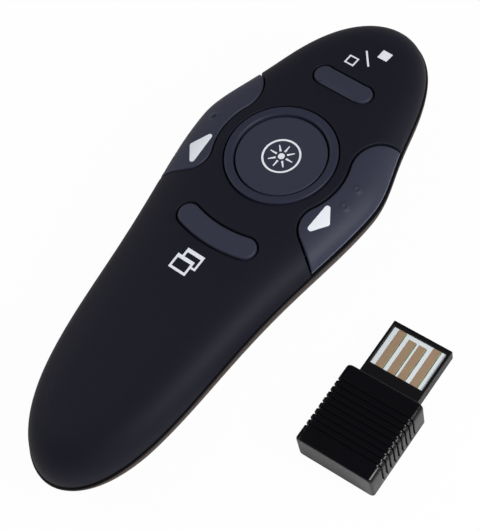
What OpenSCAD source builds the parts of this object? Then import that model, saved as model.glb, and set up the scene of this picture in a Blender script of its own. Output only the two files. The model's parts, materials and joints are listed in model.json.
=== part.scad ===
// Wireless presentation clicker with its plug-in receiver lying beside it.
// Millimetres. Origin: centre of the underside at mid-length. +X right, +Y to the nose, +Z up.

/* [Handset shape] */
// Length from nose to tail
handset_l = 105.2; // [104.4:0.1:106.4]
// Height of the crown at the thumb ring
crown_h = 22; // [21.8:0.1:23]
// Distance of the thumb ring ahead of mid-length
ring_y = 16.3; // [16:0.1:16.6]
// Half width that the front part settles to
nose_half = 17.2; // [16.6:0.1:17.4]
// Half width that the handle settles to
tail_half = 14.4; // [14.2:0.1:15]
// Extra half width of the swell beside the thumb ring
swell = 3.9; // [3.8:0.1:4.4]
// Length of the swell towards the nose
swell_front = 10.9; // [10:0.1:12]
// Length of the swell towards the tail
swell_back = 24.1; // [22:0.1:26]
// Squareness of the nose in plan
nose_power = 3.3; // [3:0.1:3.6]
// Squareness of the tail in plan
tail_power = 3.9; // [3.6:0.1:4.2]
// Height of the parting line at its top
parting_h = 17.75; // [17.5:0.05:18]
// Shell wall
wall = 1.8; // [1.6:0.1:2]
// Thickness of the sole
sole_t = 1.6; // [1.4:0.1:1.8]

/* [Keys] */
// Gap round each wing key
gap = 0.35; // [0.3:0.05:0.45]
// Travel of every key
travel = 0.3; // [0.2:0.05:0.35]
// Outer radius of the fixed thumb ring
ring_r = 10.3; // [10:0.1:10.4]
// Radius of the round laser key inside it
laser_key_r = 8.35; // [8:0.05:8.4]
// Radius of the wings' inner edge about the thumb ring
wing_arc_r = 12.7; // [12.5:0.1:12.9]
// Half length between the lobes of the nose key
pill_half = 4.2; // [3.8:0.1:4.6]
// Lobe radius of the nose key
pill_r = 2.15; // [1.9:0.05:2.4]
// Centre radius of the curved key behind the ring
crescent_arc_r = 24.5; // [23:0.1:26]
// Half width of the curved key
crescent_r = 2.25; // [2:0.05:2.5]

/* [Power and light] */
// Cell diameter
cell_d = 10.5; // [10.2:0.1:10.5]
// Cell length
cell_l = 44.5; // [44:0.1:44.6]
// Diameter of the laser barrel
barrel_d = 6; // [5.8:0.1:6]
// Length of the laser barrel
barrel_l = 10.5; // [10:0.1:10.7]

/* [Receiver] */
// Width of the receiver body
receiver_w = 15.6; // [15:0.1:15.7]
// Length of the receiver body
receiver_l = 16.6; // [16:0.1:17]
// Height of the receiver
receiver_h = 7; // [6.6:0.1:7.4]
// Length of the plug outside the body
plug_l = 12; // [12:0.1:12.5]
// Width of the plug
plug_w = 12; // [11.8:0.1:12.1]
// Number of grooves across the receiver
groove_count = 9; // [7:1:9]
// Distance from one groove of the receiver to the next
groove_pitch = 1.23; // [1.2:0.01:1.3]
// Place of the receiver beside the handset, across and along
receiver_xy = [37.1, -12.7];
// Turn of the receiver on the table
receiver_turn = 3; // [0:1:6]

/* [Hidden] */

$fn = 48;
half_l = handset_l / 2;
far = 60;

// Handset outline and heights
swell_y = 16.8;
waist_l = 20;
end_spine = half_l - 14;
crown_fall = 0.0015;
parting_fall = 0.00169;
parting_top_y = 22.3;
dome_power = 4.6;
bowl_power = 1.4;
rim_proud = 0.35;
groove_h = 0.45;
groove_d = 0.6;
seam = 0.05;
sole_cut = 5;
dome_end = 89.9;
bowl_end = 75;
outer_points = 72;
outer_rings = 8;
inner_points = 48;
inner_rings = 6;

// One cell on the centre line, its plus end to the front
cell_z = 7.3;
nub_d = 3.8;
nub_l = 0.8;
contact_t = 0.3;
spring_l = 3.9;
wire_r = 0.25;
spring_r = 2.6;
spring_turns = 3;
bay_half = 5.6;
bay_front = 6;
bay_back = -43;
bay_top = 12.75;
bay_open = -24;
tub_front = 8.9;
tub_top = 13.75;
rib_t = 1.2;
rib_y = 27;
rib_half = 8;
shelf_z = 3.8;
slot_half = 1;
slot_l = 0.6;
contact_half = 3.6;
contact_z = [4.9, 11.6];
tab_half = 0.8;

// Battery door, a dovetail slide open at the tail
door_half = 5.6;
door_flare = 0.25;
channel_h = 4.8;
door_h = 4.5;
channel_front = 7.7;
fit = 0.3;
grip_count = 5;
grip_pitch = 2;
grip_y = -20;
grip_w = 0.9;
grip_d = 0.5;
grip_half = 4;

// Screws from below, two near the nose and one under the door
screw_head_d = 3.6;
screw_head_h = 1.4;
screw_d = 2;
screw_l = 7;
pilot_d = 1.7;
pilot_spare = 0.5;
recess_d = 4.4;
boss_r = 2.6;
post_r = 1.85;
boss_short = 0.2;
hole_play = 0.3;
cross_l = 2;
cross_w = 0.5;
cross_d = 0.7;
// Each screw: [x, y, seat height, height where the two shells' bosses meet]
SCREWS = [[-7.2, 40, 8.2, 11], [7.2, 40, 8.2, 11], [0, -46.5, 6.2, 8.2]];

// Circuit board and its switches
board_t = 1;
board_back = -6.4;
board_rear = 13.3;
board_wide = 15.2;
board_shoulder = 6.4;
board_neck = 18.5;
board_narrow = 8.2;
board_front = 37.6;
switch_w = 4.8;
switch_top = 16.6;
plunger_r = 1.7;
plunger_foot = 15.4;
plunger_top = 17.2;
plunger_play = travel + 0.1;
stem_r = 1.6;
laser_stem_r = 2.2;
board_top = tub_top + board_t;
blank_y = 34.8;
crescent_mid = -3.1;
wing_stem_h = 3.6;
WING_SWITCH = [12.8, 8.6];

// Thumb ring and its key
window_r = 10.6;
ring_inner_r = 8.65;
ring_foot = 19.6;
flange_r = 11.9;
key_flange_r = 9.4;
key_flange = [18.6, 19.2];
laser_key_top = 21.6;
dish_r = 90;
dish_d = 0.35;
ring_flange = [19.2, 19.9];
ring_chamfer = 0.3;
ring_bevel = 0.5;
small_lift = 0.15;
small_flange = [18.4, 19.1];
small_brim = 0.7;
crescent_half_angle = 15.1;

// Wing outline: two fillets joined by the inner arc, open to the side
nose_angle = 22;
tail_angle = 27;
nose_fillet_r = 6.5;
nose_fillet_end = 120;
tail_fillet_r = 4.6;
tail_fillet_end = 236;
wing_side = 24;
wing_lift = 0.5;
arc_steps = 10;
// Lugs of the right wing that reach under the casing, each from one corner to the other
LUGS = [
    [[11.6, 23.4, 17.9], [13, 25.6, 20.2]], [[11.6, 25.6, 17.9], [13, 29, 18.4]],
    [[12.8, 5.3, 17.6], [14.4, 7.4, 19.9]], [[12.8, 1.2, 17.6], [14.4, 5.3, 18.2]]
];

// Laser module on the centre line, shining out of the nose
laser_z = 10.4;
laser_board_y = 35.6;
laser_board_t = 0.8;
barrel_y = laser_board_y + laser_board_t;
window_y = 48;
aperture_d = 4.9;
window_d = 4.8;
window_t = 1;
bore_y = 41;
bore_l = 6.4;
seat_half = 4.4;
seat_back = 41.6;
seat_top = 14.8;
lens_back = 1.4;
lens_t = 1;
lens_d = 4.1;
lead_x = 1.2;
lead_d = 0.6;
lead_y = 33.3;
lead_rise = 2.2;

// Small parts on the board, each from one corner to the other in plan, then its height
CHIP = [[-9.5, 3], [-4.5, 8], 0.9];
CRYSTAL = [[4.6, 3.6], [7.8, 6.1], 0.8];
CAPACITOR = [[-6, 9.6], [-5, 10.1], 0.5];
capacitor_count = 6;
capacitor_pitch = 2.2;
aerial_x = -12.6;

// Receiver heights
split_z = 3.5;
tray_z = [2.2, 4.8];
tray_back = 5;
rail_t = 0.6;
front_rim = 0.9;
bridge_l = 2.9;
bridge_t = 0.25;
play = 0.05;
receiver_board_z = 3.6;
receiver_board_t = 0.8;
receiver_board_back = -6.4;
case_t = 1.2;
corner_r = 0.6;
long_chamfer = 0.9;
end_chamfer = 0.3;
first_groove = 3.5;
groove_w = 0.5;
groove_t = 0.35;
groove_foot = 1;
pad_t = 0.1;
pad_w = 1.5;
// Each pad: [place across, distance behind the plug's front]
PADS = [[-3.55, 1], [-1.05, 1.8], [1.05, 1.8], [3.55, 1]];
RECEIVER_CHIP = [[-4, -4.6], [0, -0.6], 0.4];
RECEIVER_CRYSTAL = [[1.4, -3.8], [3.9, -1.8], 0.4];

// Half width of the handset's outline at y: two widths blended, a swell, and rounded ends
function swell_at(y) = swell * exp(-pow((y - swell_y) / (y > swell_y ? swell_front : swell_back), 2));
function blend_at(y) = 1 / (1 + exp(-2 * (y - swell_y) / waist_l));
function end_at(y) = sqrt(max(0, 1 - pow(abs(y) / half_l, y > 0 ? nose_power : tail_power)));
function half_width(y) = (tail_half + (nose_half - tail_half) * blend_at(y) + swell_at(y)) * end_at(y);

// Heights of the crown and of the parting line along the handset
function crown_z(y) = crown_h - crown_fall * pow(y - ring_y, 2);
function parting_z(y) = parting_h - parting_fall * pow(y - parting_top_y, 2);

// Outline points, clockwise from above and starting at the nose, moved inwards by a distance
function outline(n) = [for (j = [0:n - 1]) let (y = half_l * cos(360 * j / n))
    [(2 * j < n ? 1 : -1) * half_width(y), y]];
function inset(loop, by) = [for (j = [0:len(loop) - 1]) let (
    n = len(loop), d = loop[(j + 1) % n] - loop[(j + n - 1) % n], t = d / norm(d))
    loop[j] - by * [-t[1], t[0]]];
function to_spine(p, s) = let (q = [0, max(-end_spine, min(end_spine, p[1]))]) q + (p - q) * s;

// Superelliptic rings: a dome up from the parting line, a bowl down from the rim
function dome_loops(n, m, by, drop) = [for (k = [0:m]) let (a = dome_end * k / m)
    [for (p = inset(outline(n), by)) let (
        q = to_spine(p, pow(cos(a), 2 / dome_power)), z = parting_z(q[1]))
        [q[0], q[1], z + (crown_z(q[1]) - drop - z) * sin(a)]]];
function bowl_loops(n, m, by, lift) = [for (k = [m:-1:0]) let (a = bowl_end * k / m)
    [for (p = inset(outline(n), by)) let (
        q = to_spine(p, pow(cos(a), 2 / bowl_power)), z = parting_z(q[1]) - groove_h)
        [q[0], q[1], z - (z + sole_cut - lift) * pow(sin(a), 2 / bowl_power)]]];
function rim_loop(n, by, rise) = [for (p = inset(outline(n), by)) [p[0], p[1], parting_z(p[1]) + rise]];

function arc(c, r, from, to) = [for (k = [0:arc_steps]) let (a = from + (to - from) * k / arc_steps)
    c + r * [cos(a), sin(a)]];

// Closed solid through loops stacked from the bottom up, each mirrored in X about its first point
module loft(loops) {
    n = len(loops[0]);
    m = len(loops);
    sides = [for (k = [0:m - 2]) for (j = [0:n - 1]) let (
        a = k * n + j, b = k * n + (j + 1) % n, c = b + n, d = a + n) each [[a, b, c], [a, c, d]]];
    cap = concat(
        [[0, 1, n - 1]],
        [for (j = [1:n / 2 - 2]) each [[j, j + 1, n - j - 1], [j, n - j - 1, n - j]]],
        [[n / 2 - 1, n / 2, n / 2 + 1]]);
    bottom = [for (f = cap) [f[2], f[1], f[0]]];
    top = [for (f = cap) [for (i = f) i + (m - 1) * n]];
    polyhedron(points = [for (l = loops) each l], faces = concat(sides, bottom, top), convexity = 10);
}

// Box from one corner to the other
module box(a, b) {
    translate(a) cube(b - a);
}

module above(z) {
    box([-far, -2 * far, z], [far, 2 * far, far]);
}

module upper_outer() {
    loft(dome_loops(outer_points, outer_rings, 0, 0));
}

module upper_cavity() {
    loft(concat([rim_loop(inner_points, wall, -2)], dome_loops(inner_points, inner_rings, wall, wall)));
}

module lower_outer() {
    intersection() {
        loft(concat(
            bowl_loops(outer_points, outer_rings, -rim_proud, 0),
            [rim_loop(outer_points, groove_d, -groove_h), rim_loop(outer_points, groove_d, -seam)]));
        above(0);
    }
}

module lower_cavity() {
    intersection() {
        loft(concat(
            bowl_loops(inner_points, inner_rings, wall, sole_t),
            [rim_loop(inner_points, wall, 1)]));
        above(sole_t);
    }
}

// Plan of a wing key, grown by g: positive for its window, negative for the key
module wing_plan(g) {
    nose = [0, ring_y] + (wing_arc_r + nose_fillet_r) * [cos(nose_angle), sin(nose_angle)];
    tail = [0, ring_y] + (wing_arc_r + tail_fillet_r) * [cos(tail_angle), -sin(tail_angle)];
    front = arc(nose, nose_fillet_r + g, nose_fillet_end, 180 + nose_angle);
    back = arc(tail, tail_fillet_r + g, 180 - tail_angle, tail_fillet_end);
    front_slope = tan(nose_fillet_end - 90);
    back_slope = tan(tail_fillet_end - 270);
    last = back[arc_steps];
    polygon(concat(
        [[wing_side, front[0][1] + front_slope * (wing_side - front[0][0])]],
        front,
        arc([0, ring_y], wing_arc_r - g, nose_angle, -tail_angle),
        back,
        [[wing_side, last[1] + back_slope * (wing_side - last[0])]]));
}

// Side view above a line that follows the parting line at a given lift
module over_parting(lift) {
    steps = 12;
    from = -10;
    to = 36;
    line = [for (k = [0:steps]) let (y = from + (to - from) * k / steps) [y, parting_z(y) + lift]];
    rotate([90, 0, 90]) translate([0, 0, -far]) linear_extrude(2 * far)
        polygon(concat(line, [[to, far], [from, far]]));
}

module pill_plan(r) {
    for (side = [-1, 1]) translate([side * pill_half, blank_y]) circle(r);
    translate([-pill_half, blank_y - r]) square([2 * pill_half, 2 * r]);
}

// Crescent: a stretch of a wide arc about a point ahead of it, with round ends
module crescent_plan(r) {
    turn = crescent_half_angle;
    centre_y = crescent_mid + crescent_arc_r;
    reach = 2 * crescent_arc_r;
    translate([0, centre_y]) {
        intersection() {
            difference() {
                circle(crescent_arc_r + r, $fn = 96);
                circle(crescent_arc_r - r, $fn = 96);
            }
            polygon([[0, 0], reach * [sin(turn), -cos(turn)], reach * [-sin(turn), -cos(turn)]]);
        }
        for (side = [-1, 1])
            translate(crescent_arc_r * [side * sin(turn), -cos(turn)]) circle(r);
    }
}

module both_wings() {
    children();
    mirror([1, 0, 0]) children();
}

module screw_places() {
    for (s = SCREWS) translate([s[0], s[1], 0]) {
        $seat = s[2];
        $joint = s[3];
        $top = crown_z(s[1]) - wall - boss_short;
        children();
    }
}

// Top casing with its key windows and the screw bosses that hang from it
module upper_shell() {
    color("#1d1d24") difference() {
        union() {
            difference() {
                upper_outer();
                upper_cavity();
                translate([0, ring_y, ring_foot - 4]) cylinder(r = window_r, h = 10);
                translate([0, 0, tub_top]) linear_extrude(far) both_wings() wing_plan(gap / 2);
                translate([0, 0, tub_top]) linear_extrude(far) pill_plan(pill_r + gap / 2);
                translate([0, 0, tub_top]) linear_extrude(far) crescent_plan(crescent_r + gap / 2);
            }
            screw_places() boss(post_r, $joint, $top);
        }
        screw_places() translate([0, 0, $joint - 1])
            cylinder(d = pilot_d, h = $seat + screw_l - $joint + 1 + pilot_spare);
    }
}

module boss(r, from, to) {
    translate([0, 0, from]) cylinder(r = r, h = to - from);
}

module door_section(grow) {
    half = door_half + grow;
    translate([0, channel_front, 0]) rotate([90, 0, 0]) linear_extrude(far + channel_front)
        polygon([[-half + door_flare, -1], [half - door_flare, -1],
            [half + door_flare * channel_h, channel_h], [-half - door_flare * channel_h, channel_h]]);
}

// Bottom casing: battery tub, board rib, laser seat, screw bosses and the door's channel
module lower_shell() {
    color("#2b2728") difference() {
        lower_outer();
        difference() {
            lower_cavity();
            box([-bay_half - rib_t, bay_back - rib_t, -1], [bay_half + rib_t, tub_front, tub_top]);
            box([-rib_half, rib_y, -1], [rib_half, rib_y + rib_t, tub_top]);
            box([-seat_half, seat_back, -1], [seat_half, half_l + 2, seat_top]);
            box([-far, -far, shelf_z], [far, bay_back, channel_h + sole_t]);
            screw_places() boss(boss_r, -1, $joint);
        }
        box([-bay_half, bay_back, door_h], [bay_half, bay_front, bay_top]);
        box([-bay_half, bay_back, door_h], [bay_half, bay_open, far]);
        door_section(0);
        box([-slot_half, bay_front - slot_l, bay_top - 1], [slot_half, bay_front, tub_top + 1]);
        screw_places() {
            translate([0, 0, -1]) cylinder(d = recess_d, h = $seat + 1);
            translate([0, 0, -1]) cylinder(d = screw_d + hole_play, h = $joint + 2);
        }
        along_y(0, bore_y, laser_z) cylinder(d = barrel_d + 2 * play, h = bore_l);
        along_y(0, bore_y, laser_z) cylinder(d = aperture_d, h = 2 * bore_l);
    }
}

// Sliding door: the middle of the tail's underside, with grip grooves
module battery_door() {
    color("#262325") difference() {
        intersection() {
            lower_outer();
            translate([0, -fit, 0]) door_section(-fit);
            box([-far, -far, -1], [far, channel_front, door_h]);
        }
        lower_cavity();
        along_y(0, bay_back - 1, cell_z) cylinder(d = cell_d + 2 * fit, h = far);
        for (k = [0:grip_count - 1]) translate([0, grip_y - grip_pitch * k, 0])
            box([-grip_half, 0, -1], [grip_half, grip_w, grip_d]);
    }
}

// Fixed ring round the laser key, with a flange that hides under the top casing
module thumb_ring() {
    color("#3a3b48") translate([0, ring_y, 0])
        rotate_extrude($fn = 96) polygon([
            [ring_inner_r, ring_foot], [ring_r, ring_foot], [ring_r, ring_flange[0]],
            [flange_r, ring_flange[0]], [flange_r, ring_flange[1]], [ring_r, ring_flange[1]],
            [ring_r, crown_h - ring_chamfer], [ring_r - ring_chamfer, crown_h],
            [ring_inner_r + ring_bevel, crown_h], [ring_inner_r, crown_h - ring_bevel]]);
}

module laser_key() {
    color("#343543") translate([0, ring_y, 0]) difference() {
        union() {
            translate([0, 0, key_flange[0]]) cylinder(r = key_flange_r, h = key_flange[1] - key_flange[0]);
            translate([0, 0, key_flange[0]]) cylinder(r = laser_key_r, h = laser_key_top - key_flange[0]);
            translate([0, 0, plunger_top]) cylinder(r = laser_stem_r, h = key_flange[1] - plunger_top);
        }
        translate([0, 0, laser_key_top + dish_r - dish_d]) sphere(dish_r, $fn = 96);
    }
}

// Wing key: a piece of the crown with a stem over its switch and two lugs under the casing
module wing_key() {
    color("#343543") union() {
        difference() {
            intersection() {
                upper_outer();
                over_parting(wing_lift);
                translate([0, 0, tub_top]) linear_extrude(far) wing_plan(-gap / 2);
            }
            upper_cavity();
        }
        translate([WING_SWITCH[0], WING_SWITCH[1], plunger_top]) cylinder(r = stem_r, h = wing_stem_h);
        for (lug = LUGS) box(lug[0], lug[1]);
    }
}

module forward_key() {
    wing_key();
}

module back_key() {
    mirror([1, 0, 0]) wing_key();
}

// Small key cut flush from the crown, on a flange under the casing and a stem
module small_key(y) {
    color("#343543") union() {
        intersection() {
            translate([0, 0, small_lift]) upper_outer();
            translate([0, 0, key_flange[0]]) linear_extrude(far) children(0);
        }
        translate([0, 0, small_flange[0]]) linear_extrude(small_flange[1] - small_flange[0]) children(1);
        translate([0, y, plunger_top]) cylinder(r = stem_r, h = small_flange[1] - plunger_top);
    }
}

module blank_key() {
    small_key(blank_y) {
        pill_plan(pill_r - gap / 2);
        pill_plan(pill_r + small_brim);
    }
}

module fullscreen_key() {
    small_key(crescent_mid) {
        crescent_plan(crescent_r - gap / 2);
        crescent_plan(crescent_r + small_brim);
    }
}

module plunger(x, y) {
    color("#e8e4d8") translate([x, y, plunger_foot]) cylinder(r = plunger_r, h = plunger_top - plunger_foot);
}

module switch_body(x, y) {
    color("#b9bcc2") translate([x, y, 0]) difference() {
        box([-switch_w / 2, -switch_w / 2, board_top], [switch_w / 2, switch_w / 2, switch_top]);
        translate([0, 0, plunger_foot - plunger_play]) cylinder(r = plunger_r + 2 * play, h = 4);
    }
}

module laser_plunger() {
    plunger(0, ring_y);
}

module back_plunger() {
    plunger(-WING_SWITCH[0], WING_SWITCH[1]);
}

module forward_plunger() {
    plunger(WING_SWITCH[0], WING_SWITCH[1]);
}

module blank_plunger() {
    plunger(0, blank_y);
}

module fullscreen_plunger() {
    plunger(0, crescent_mid);
}

module laser_switch() {
    switch_body(0, ring_y);
}

module back_switch() {
    switch_body(-WING_SWITCH[0], WING_SWITCH[1]);
}

module forward_switch() {
    switch_body(WING_SWITCH[0], WING_SWITCH[1]);
}

module blank_switch() {
    switch_body(0, blank_y);
}

module fullscreen_switch() {
    switch_body(0, crescent_mid);
}

module main_board() {
    color("#2f6b45") translate([0, 0, tub_top]) linear_extrude(board_t) {
        polygon([[-board_rear, board_back], [board_rear, board_back], [board_wide, board_shoulder],
            [board_wide, board_neck], [-board_wide, board_neck], [-board_wide, board_shoulder]]);
        translate([-board_narrow, 0]) square([2 * board_narrow, board_front]);
    }
}

// Box on a board's surface, from one corner to the other in plan, with its height
module on_board(part, z) {
    translate([0, 0, z]) linear_extrude(part[2]) translate(part[0]) square(part[1] - part[0]);
}

module radio_chip() {
    color("#26262a") on_board(CHIP, board_top);
}

module crystal() {
    color("#c9ccd2") on_board(CRYSTAL, board_top);
}

// Printed meander aerial along the board's left rear edge
module antenna() {
    track = 0.4;
    legs = 5;
    pitch = 1.4;
    depth = 3.2;
    color("#c8894b") translate([aerial_x, board_back + 0.6, board_top]) linear_extrude(pad_t) {
        for (k = [0:legs]) translate([k * pitch, 0]) square([track, depth]);
        for (k = [0:legs - 1])
            translate([k * pitch, (k % 2) * (depth - track)]) square([pitch + track, track]);
    }
}

module chip_capacitors() {
    color("#b79a72") for (k = [0:capacitor_count - 1])
        translate([capacitor_pitch * k, 0, 0]) on_board(CAPACITOR, board_top);
}

module along_y(x, y, z) {
    translate([x, y, z]) rotate([-90, 0, 0]) children();
}

module laser_barrel() {
    color("#c9a24a") along_y(0, barrel_y, laser_z) difference() {
        cylinder(d = barrel_d, h = barrel_l);
        translate([0, 0, barrel_l - lens_back]) cylinder(d = lens_d + 2 * play, h = 2);
        translate([0, 0, 3]) cylinder(d = 2.4, h = barrel_l);
    }
}

module laser_lens() {
    color("#cfe0ea") along_y(0, barrel_y + barrel_l - lens_back, laser_z)
        cylinder(d = lens_d, h = lens_t);
}

module laser_board() {
    color("#2f6b45") along_y(0, laser_board_y, laser_z) cylinder(d = barrel_d, h = laser_board_t);
}

module laser_leads() {
    height = laser_z + lead_rise;
    color("#b8452e") for (x = [-lead_x, lead_x]) {
        along_y(x, lead_y - lead_d / 2, height) cylinder(d = lead_d, h = laser_board_y - lead_y + lead_d / 2);
        translate([x, lead_y, height]) cylinder(d = lead_d, h = tub_top - height);
    }
}

module laser_window() {
    color("#7a1f22") along_y(0, window_y, laser_z) cylinder(d = window_d, h = window_t);
}

// Dry cell with its plus nub at the front
module dry_cell() {
    color("#3f5f7d") along_y(0, bay_front - contact_t - cell_l, cell_z) rotate_extrude() polygon([
        [0, 0], [cell_d / 2 - 0.4, 0], [cell_d / 2, 0.4], [cell_d / 2, cell_l - nub_l - 0.4],
        [cell_d / 2 - 0.4, cell_l - nub_l], [nub_d / 2, cell_l - nub_l], [nub_d / 2, cell_l], [0, cell_l]]);
}

// Spring plate across the bay with a tab that rises to a height
module contact(y, top) {
    box([-contact_half, y, contact_z[0]], [contact_half, y + contact_t, contact_z[1]]);
    box([-tab_half, y, contact_z[1] - fit], [tab_half, y + contact_t, top]);
}

module positive_contact() {
    color("#c9ccd2") contact(bay_front - contact_t, tub_top);
}

// The rear plate has a flat strip over the cell to the board's rear edge
module negative_contact() {
    color("#c9ccd2") {
        contact(bay_back, tub_top + contact_t);
        box([-tab_half, bay_back, tub_top], [tab_half, board_back, tub_top + contact_t]);
    }
}

// Coil of round wire about the Z axis, one unbroken tube with closed ends
module coil(r, length, turns) {
    per_turn = 14;
    sides = 6;
    rings = turns * per_turn;
    rise = length - 2 * wire_r;
    points = [for (k = [0:rings]) for (s = [0:sides - 1]) let (
        a = 360 * k / per_turn, q = r + wire_r * cos(60 * s))
        [q * cos(a), q * sin(a), wire_r + rise * k / rings + wire_r * sin(60 * s)]];
    skin = [for (k = [0:rings - 1]) for (s = [0:sides - 1]) let (
        a = k * sides + s, b = k * sides + (s + 1) % sides) each [[a, a + sides, b + sides], [a, b + sides, b]]];
    first = [for (s = [0:sides - 1]) s];
    last = [for (s = [sides - 1:-1:0]) rings * sides + s];
    polyhedron(points = points, faces = concat(skin, [first, last]), convexity = 8);
}

module cell_spring() {
    color("#c9ccd2") along_y(0, bay_back + contact_t, cell_z) coil(spring_r, spring_l, spring_turns);
}

// Three pan-head screws with a cross recess
module case_screws() {
    color("#8e9096") screw_places() translate([0, 0, $seat - screw_head_h]) difference() {
        union() {
            cylinder(d = screw_head_d, h = screw_head_h);
            cylinder(d = pilot_d, h = screw_head_h + screw_l);
        }
        for (turn = [0, 90]) rotate(turn)
            box([-cross_l / 2, -cross_w / 2, -1], [cross_l / 2, cross_w / 2, cross_d]);
    }
}

// The receiver's own frame: its body centred, its plug pointing along +Y
module receiver_frame() {
    translate([receiver_xy[0], receiver_xy[1], 0]) rotate(receiver_turn) children();
}

module rounded_plan(w, l, r) {
    for (x = [-1, 1]) for (y = [-1, 1]) translate([x * (w / 2 - r), y * (l / 2 - r)]) circle(r);
    square([w - 2 * r, l], center = true);
    square([w, l - 2 * r], center = true);
}

module rounded_block(w, l, from, to, r) {
    translate([0, 0, from]) linear_extrude(to - from) rounded_plan(w, l, r);
}

// Outside of the receiver from one height to another: chamfered on top, grooved over its top and sides
module receiver_outside(from, to) {
    difference() {
        intersection() {
            hull() {
                rounded_block(receiver_w, receiver_l, 0, receiver_h - long_chamfer, corner_r);
                rounded_block(receiver_w - 2 * long_chamfer, receiver_l - 2 * end_chamfer,
                    0, receiver_h, corner_r - end_chamfer);
            }
            box([-far, -far, from], [far, far, to]);
        }
        difference() {
            for (k = [0:groove_count - 1])
                translate([0, receiver_l / 2 - first_groove - k * groove_pitch, 0])
                    box([-receiver_w, -groove_w / 2, groove_foot], [receiver_w, groove_w / 2, far]);
            hull() {
                box([groove_t - receiver_w / 2, -receiver_l, 0],
                    [receiver_w / 2 - groove_t, receiver_l, receiver_h - long_chamfer - groove_t]);
                box([groove_t + long_chamfer - receiver_w / 2, -receiver_l, 0],
                    [receiver_w / 2 - groove_t - long_chamfer, receiver_l, receiver_h - groove_t]);
            }
        }
    }
}

module receiver_inside() {
    rounded_block(receiver_w - 2 * case_t, receiver_l - 2 * case_t, case_t, receiver_h - case_t - groove_t, 1);
    box([-plug_w / 2 - play, 0, tray_z[0]], [plug_w / 2 + play, receiver_l, tray_z[1] + play]);
}

module receiver_housing() {
    color("#222228") receiver_frame() difference() {
        receiver_outside(0, split_z);
        receiver_inside();
    }
}

module receiver_cover() {
    color("#26262d") receiver_frame() difference() {
        receiver_outside(split_z, receiver_h);
        receiver_inside();
    }
}

// Plastic plug tongue: a tray with rims, and a thin bridge over the board next to the body
module plug_tray() {
    body = receiver_l / 2;
    x = plug_w / 2 - rail_t;
    y = body + plug_l - front_rim;
    color("#1f1f24") receiver_frame() difference() {
        box([-plug_w / 2, tray_back, tray_z[0]], [plug_w / 2, body + plug_l, tray_z[1]]);
        box([-x, tray_back - 1, receiver_board_z], [x, y, tray_z[1] - bridge_t]);
        box([-x, body + bridge_l, receiver_board_z], [x, y, receiver_h]);
        box([-x, tray_back - 1, receiver_board_z], [x, body, receiver_h]);
    }
}

module receiver_board() {
    x = plug_w / 2 - rail_t - play;
    front = receiver_l / 2 + plug_l - front_rim - play;
    color("#dfe3df") receiver_frame() box(
        [-x, receiver_board_back, receiver_board_z], [x, front, receiver_board_z + receiver_board_t]);
}

// Four gold pads that run back under the bridge, the outer two longer
module plug_contacts() {
    body = receiver_l / 2;
    z = receiver_board_z + receiver_board_t;
    color("#d8a83c") receiver_frame() for (pad = PADS)
        box([pad[0] - pad_w / 2, body, z], [pad[0] + pad_w / 2, body + plug_l - pad[1], z + pad_t]);
}

module receiver_chip() {
    color("#26262a") receiver_frame() on_board(RECEIVER_CHIP, receiver_board_z + receiver_board_t);
}

module receiver_crystal() {
    color("#c9ccd2") receiver_frame() on_board(RECEIVER_CRYSTAL, receiver_board_z + receiver_board_t);
}

upper_shell();
lower_shell();
battery_door();
thumb_ring();
laser_key();
back_key();
forward_key();
blank_key();
fullscreen_key();
laser_plunger();
back_plunger();
forward_plunger();
blank_plunger();
fullscreen_plunger();
laser_switch();
back_switch();
forward_switch();
blank_switch();
fullscreen_switch();
main_board();
radio_chip();
crystal();
antenna();
chip_capacitors();
laser_barrel();
laser_lens();
laser_board();
laser_leads();
laser_window();
dry_cell();
positive_contact();
negative_contact();
cell_spring();
case_screws();
receiver_housing();
receiver_cover();
plug_tray();
receiver_board();
plug_contacts();
receiver_chip();
receiver_crystal();
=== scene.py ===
"""Looks of a wireless presentation clicker and its plug-in receiver, built round the packed frame.

Shapes are worked out in millimetres, and solid_from() turns them to Blender's metres.
"""

import json
import math
from collections import namedtuple
from types import SimpleNamespace

import bmesh
import bpy
import numpy as np
from bpy.props import FloatProperty, FloatVectorProperty, IntProperty, PointerProperty
from mathutils import Matrix, Vector
from mathutils.geometry import delaunay_2d_cdt


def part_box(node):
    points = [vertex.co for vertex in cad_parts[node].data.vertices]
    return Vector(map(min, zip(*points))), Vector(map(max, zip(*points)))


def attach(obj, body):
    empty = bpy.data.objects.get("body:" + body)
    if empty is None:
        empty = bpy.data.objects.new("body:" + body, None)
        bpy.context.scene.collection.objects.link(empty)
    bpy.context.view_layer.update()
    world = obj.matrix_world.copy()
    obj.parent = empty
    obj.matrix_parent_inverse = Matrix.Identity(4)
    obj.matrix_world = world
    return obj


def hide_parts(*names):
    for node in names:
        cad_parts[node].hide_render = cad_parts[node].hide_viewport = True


bl_info = {
    "name": "Presentation clicker looks",
    "version": (1, 0, 0),
    "blender": (4, 5, 0),
    "location": "3D View > Sidebar > Clicker",
    "description": "Casings, keys, prints and receiver of a presentation clicker round its packed frame",
    "category": "Object",
}

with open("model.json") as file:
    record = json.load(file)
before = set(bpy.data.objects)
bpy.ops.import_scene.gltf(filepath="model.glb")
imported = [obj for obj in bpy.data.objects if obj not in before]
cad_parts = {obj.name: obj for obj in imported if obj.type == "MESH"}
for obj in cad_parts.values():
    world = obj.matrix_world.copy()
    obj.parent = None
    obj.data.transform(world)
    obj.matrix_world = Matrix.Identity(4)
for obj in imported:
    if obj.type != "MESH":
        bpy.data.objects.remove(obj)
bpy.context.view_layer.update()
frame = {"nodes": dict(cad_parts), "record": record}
SLOT_OF = {part["node"]: part["material_slot"] for part in frame["record"]["subparts"]}
BODY_OF = {node: body for body, nodes in frame["record"]["behaviour"]["bodies"].items() for node in nodes}
MM = 0.001


def span(node):
    """Lowest and highest corner of a packed node, in millimetres."""
    low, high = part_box(node)
    return np.array(low) / MM, np.array(high) / MM


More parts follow.
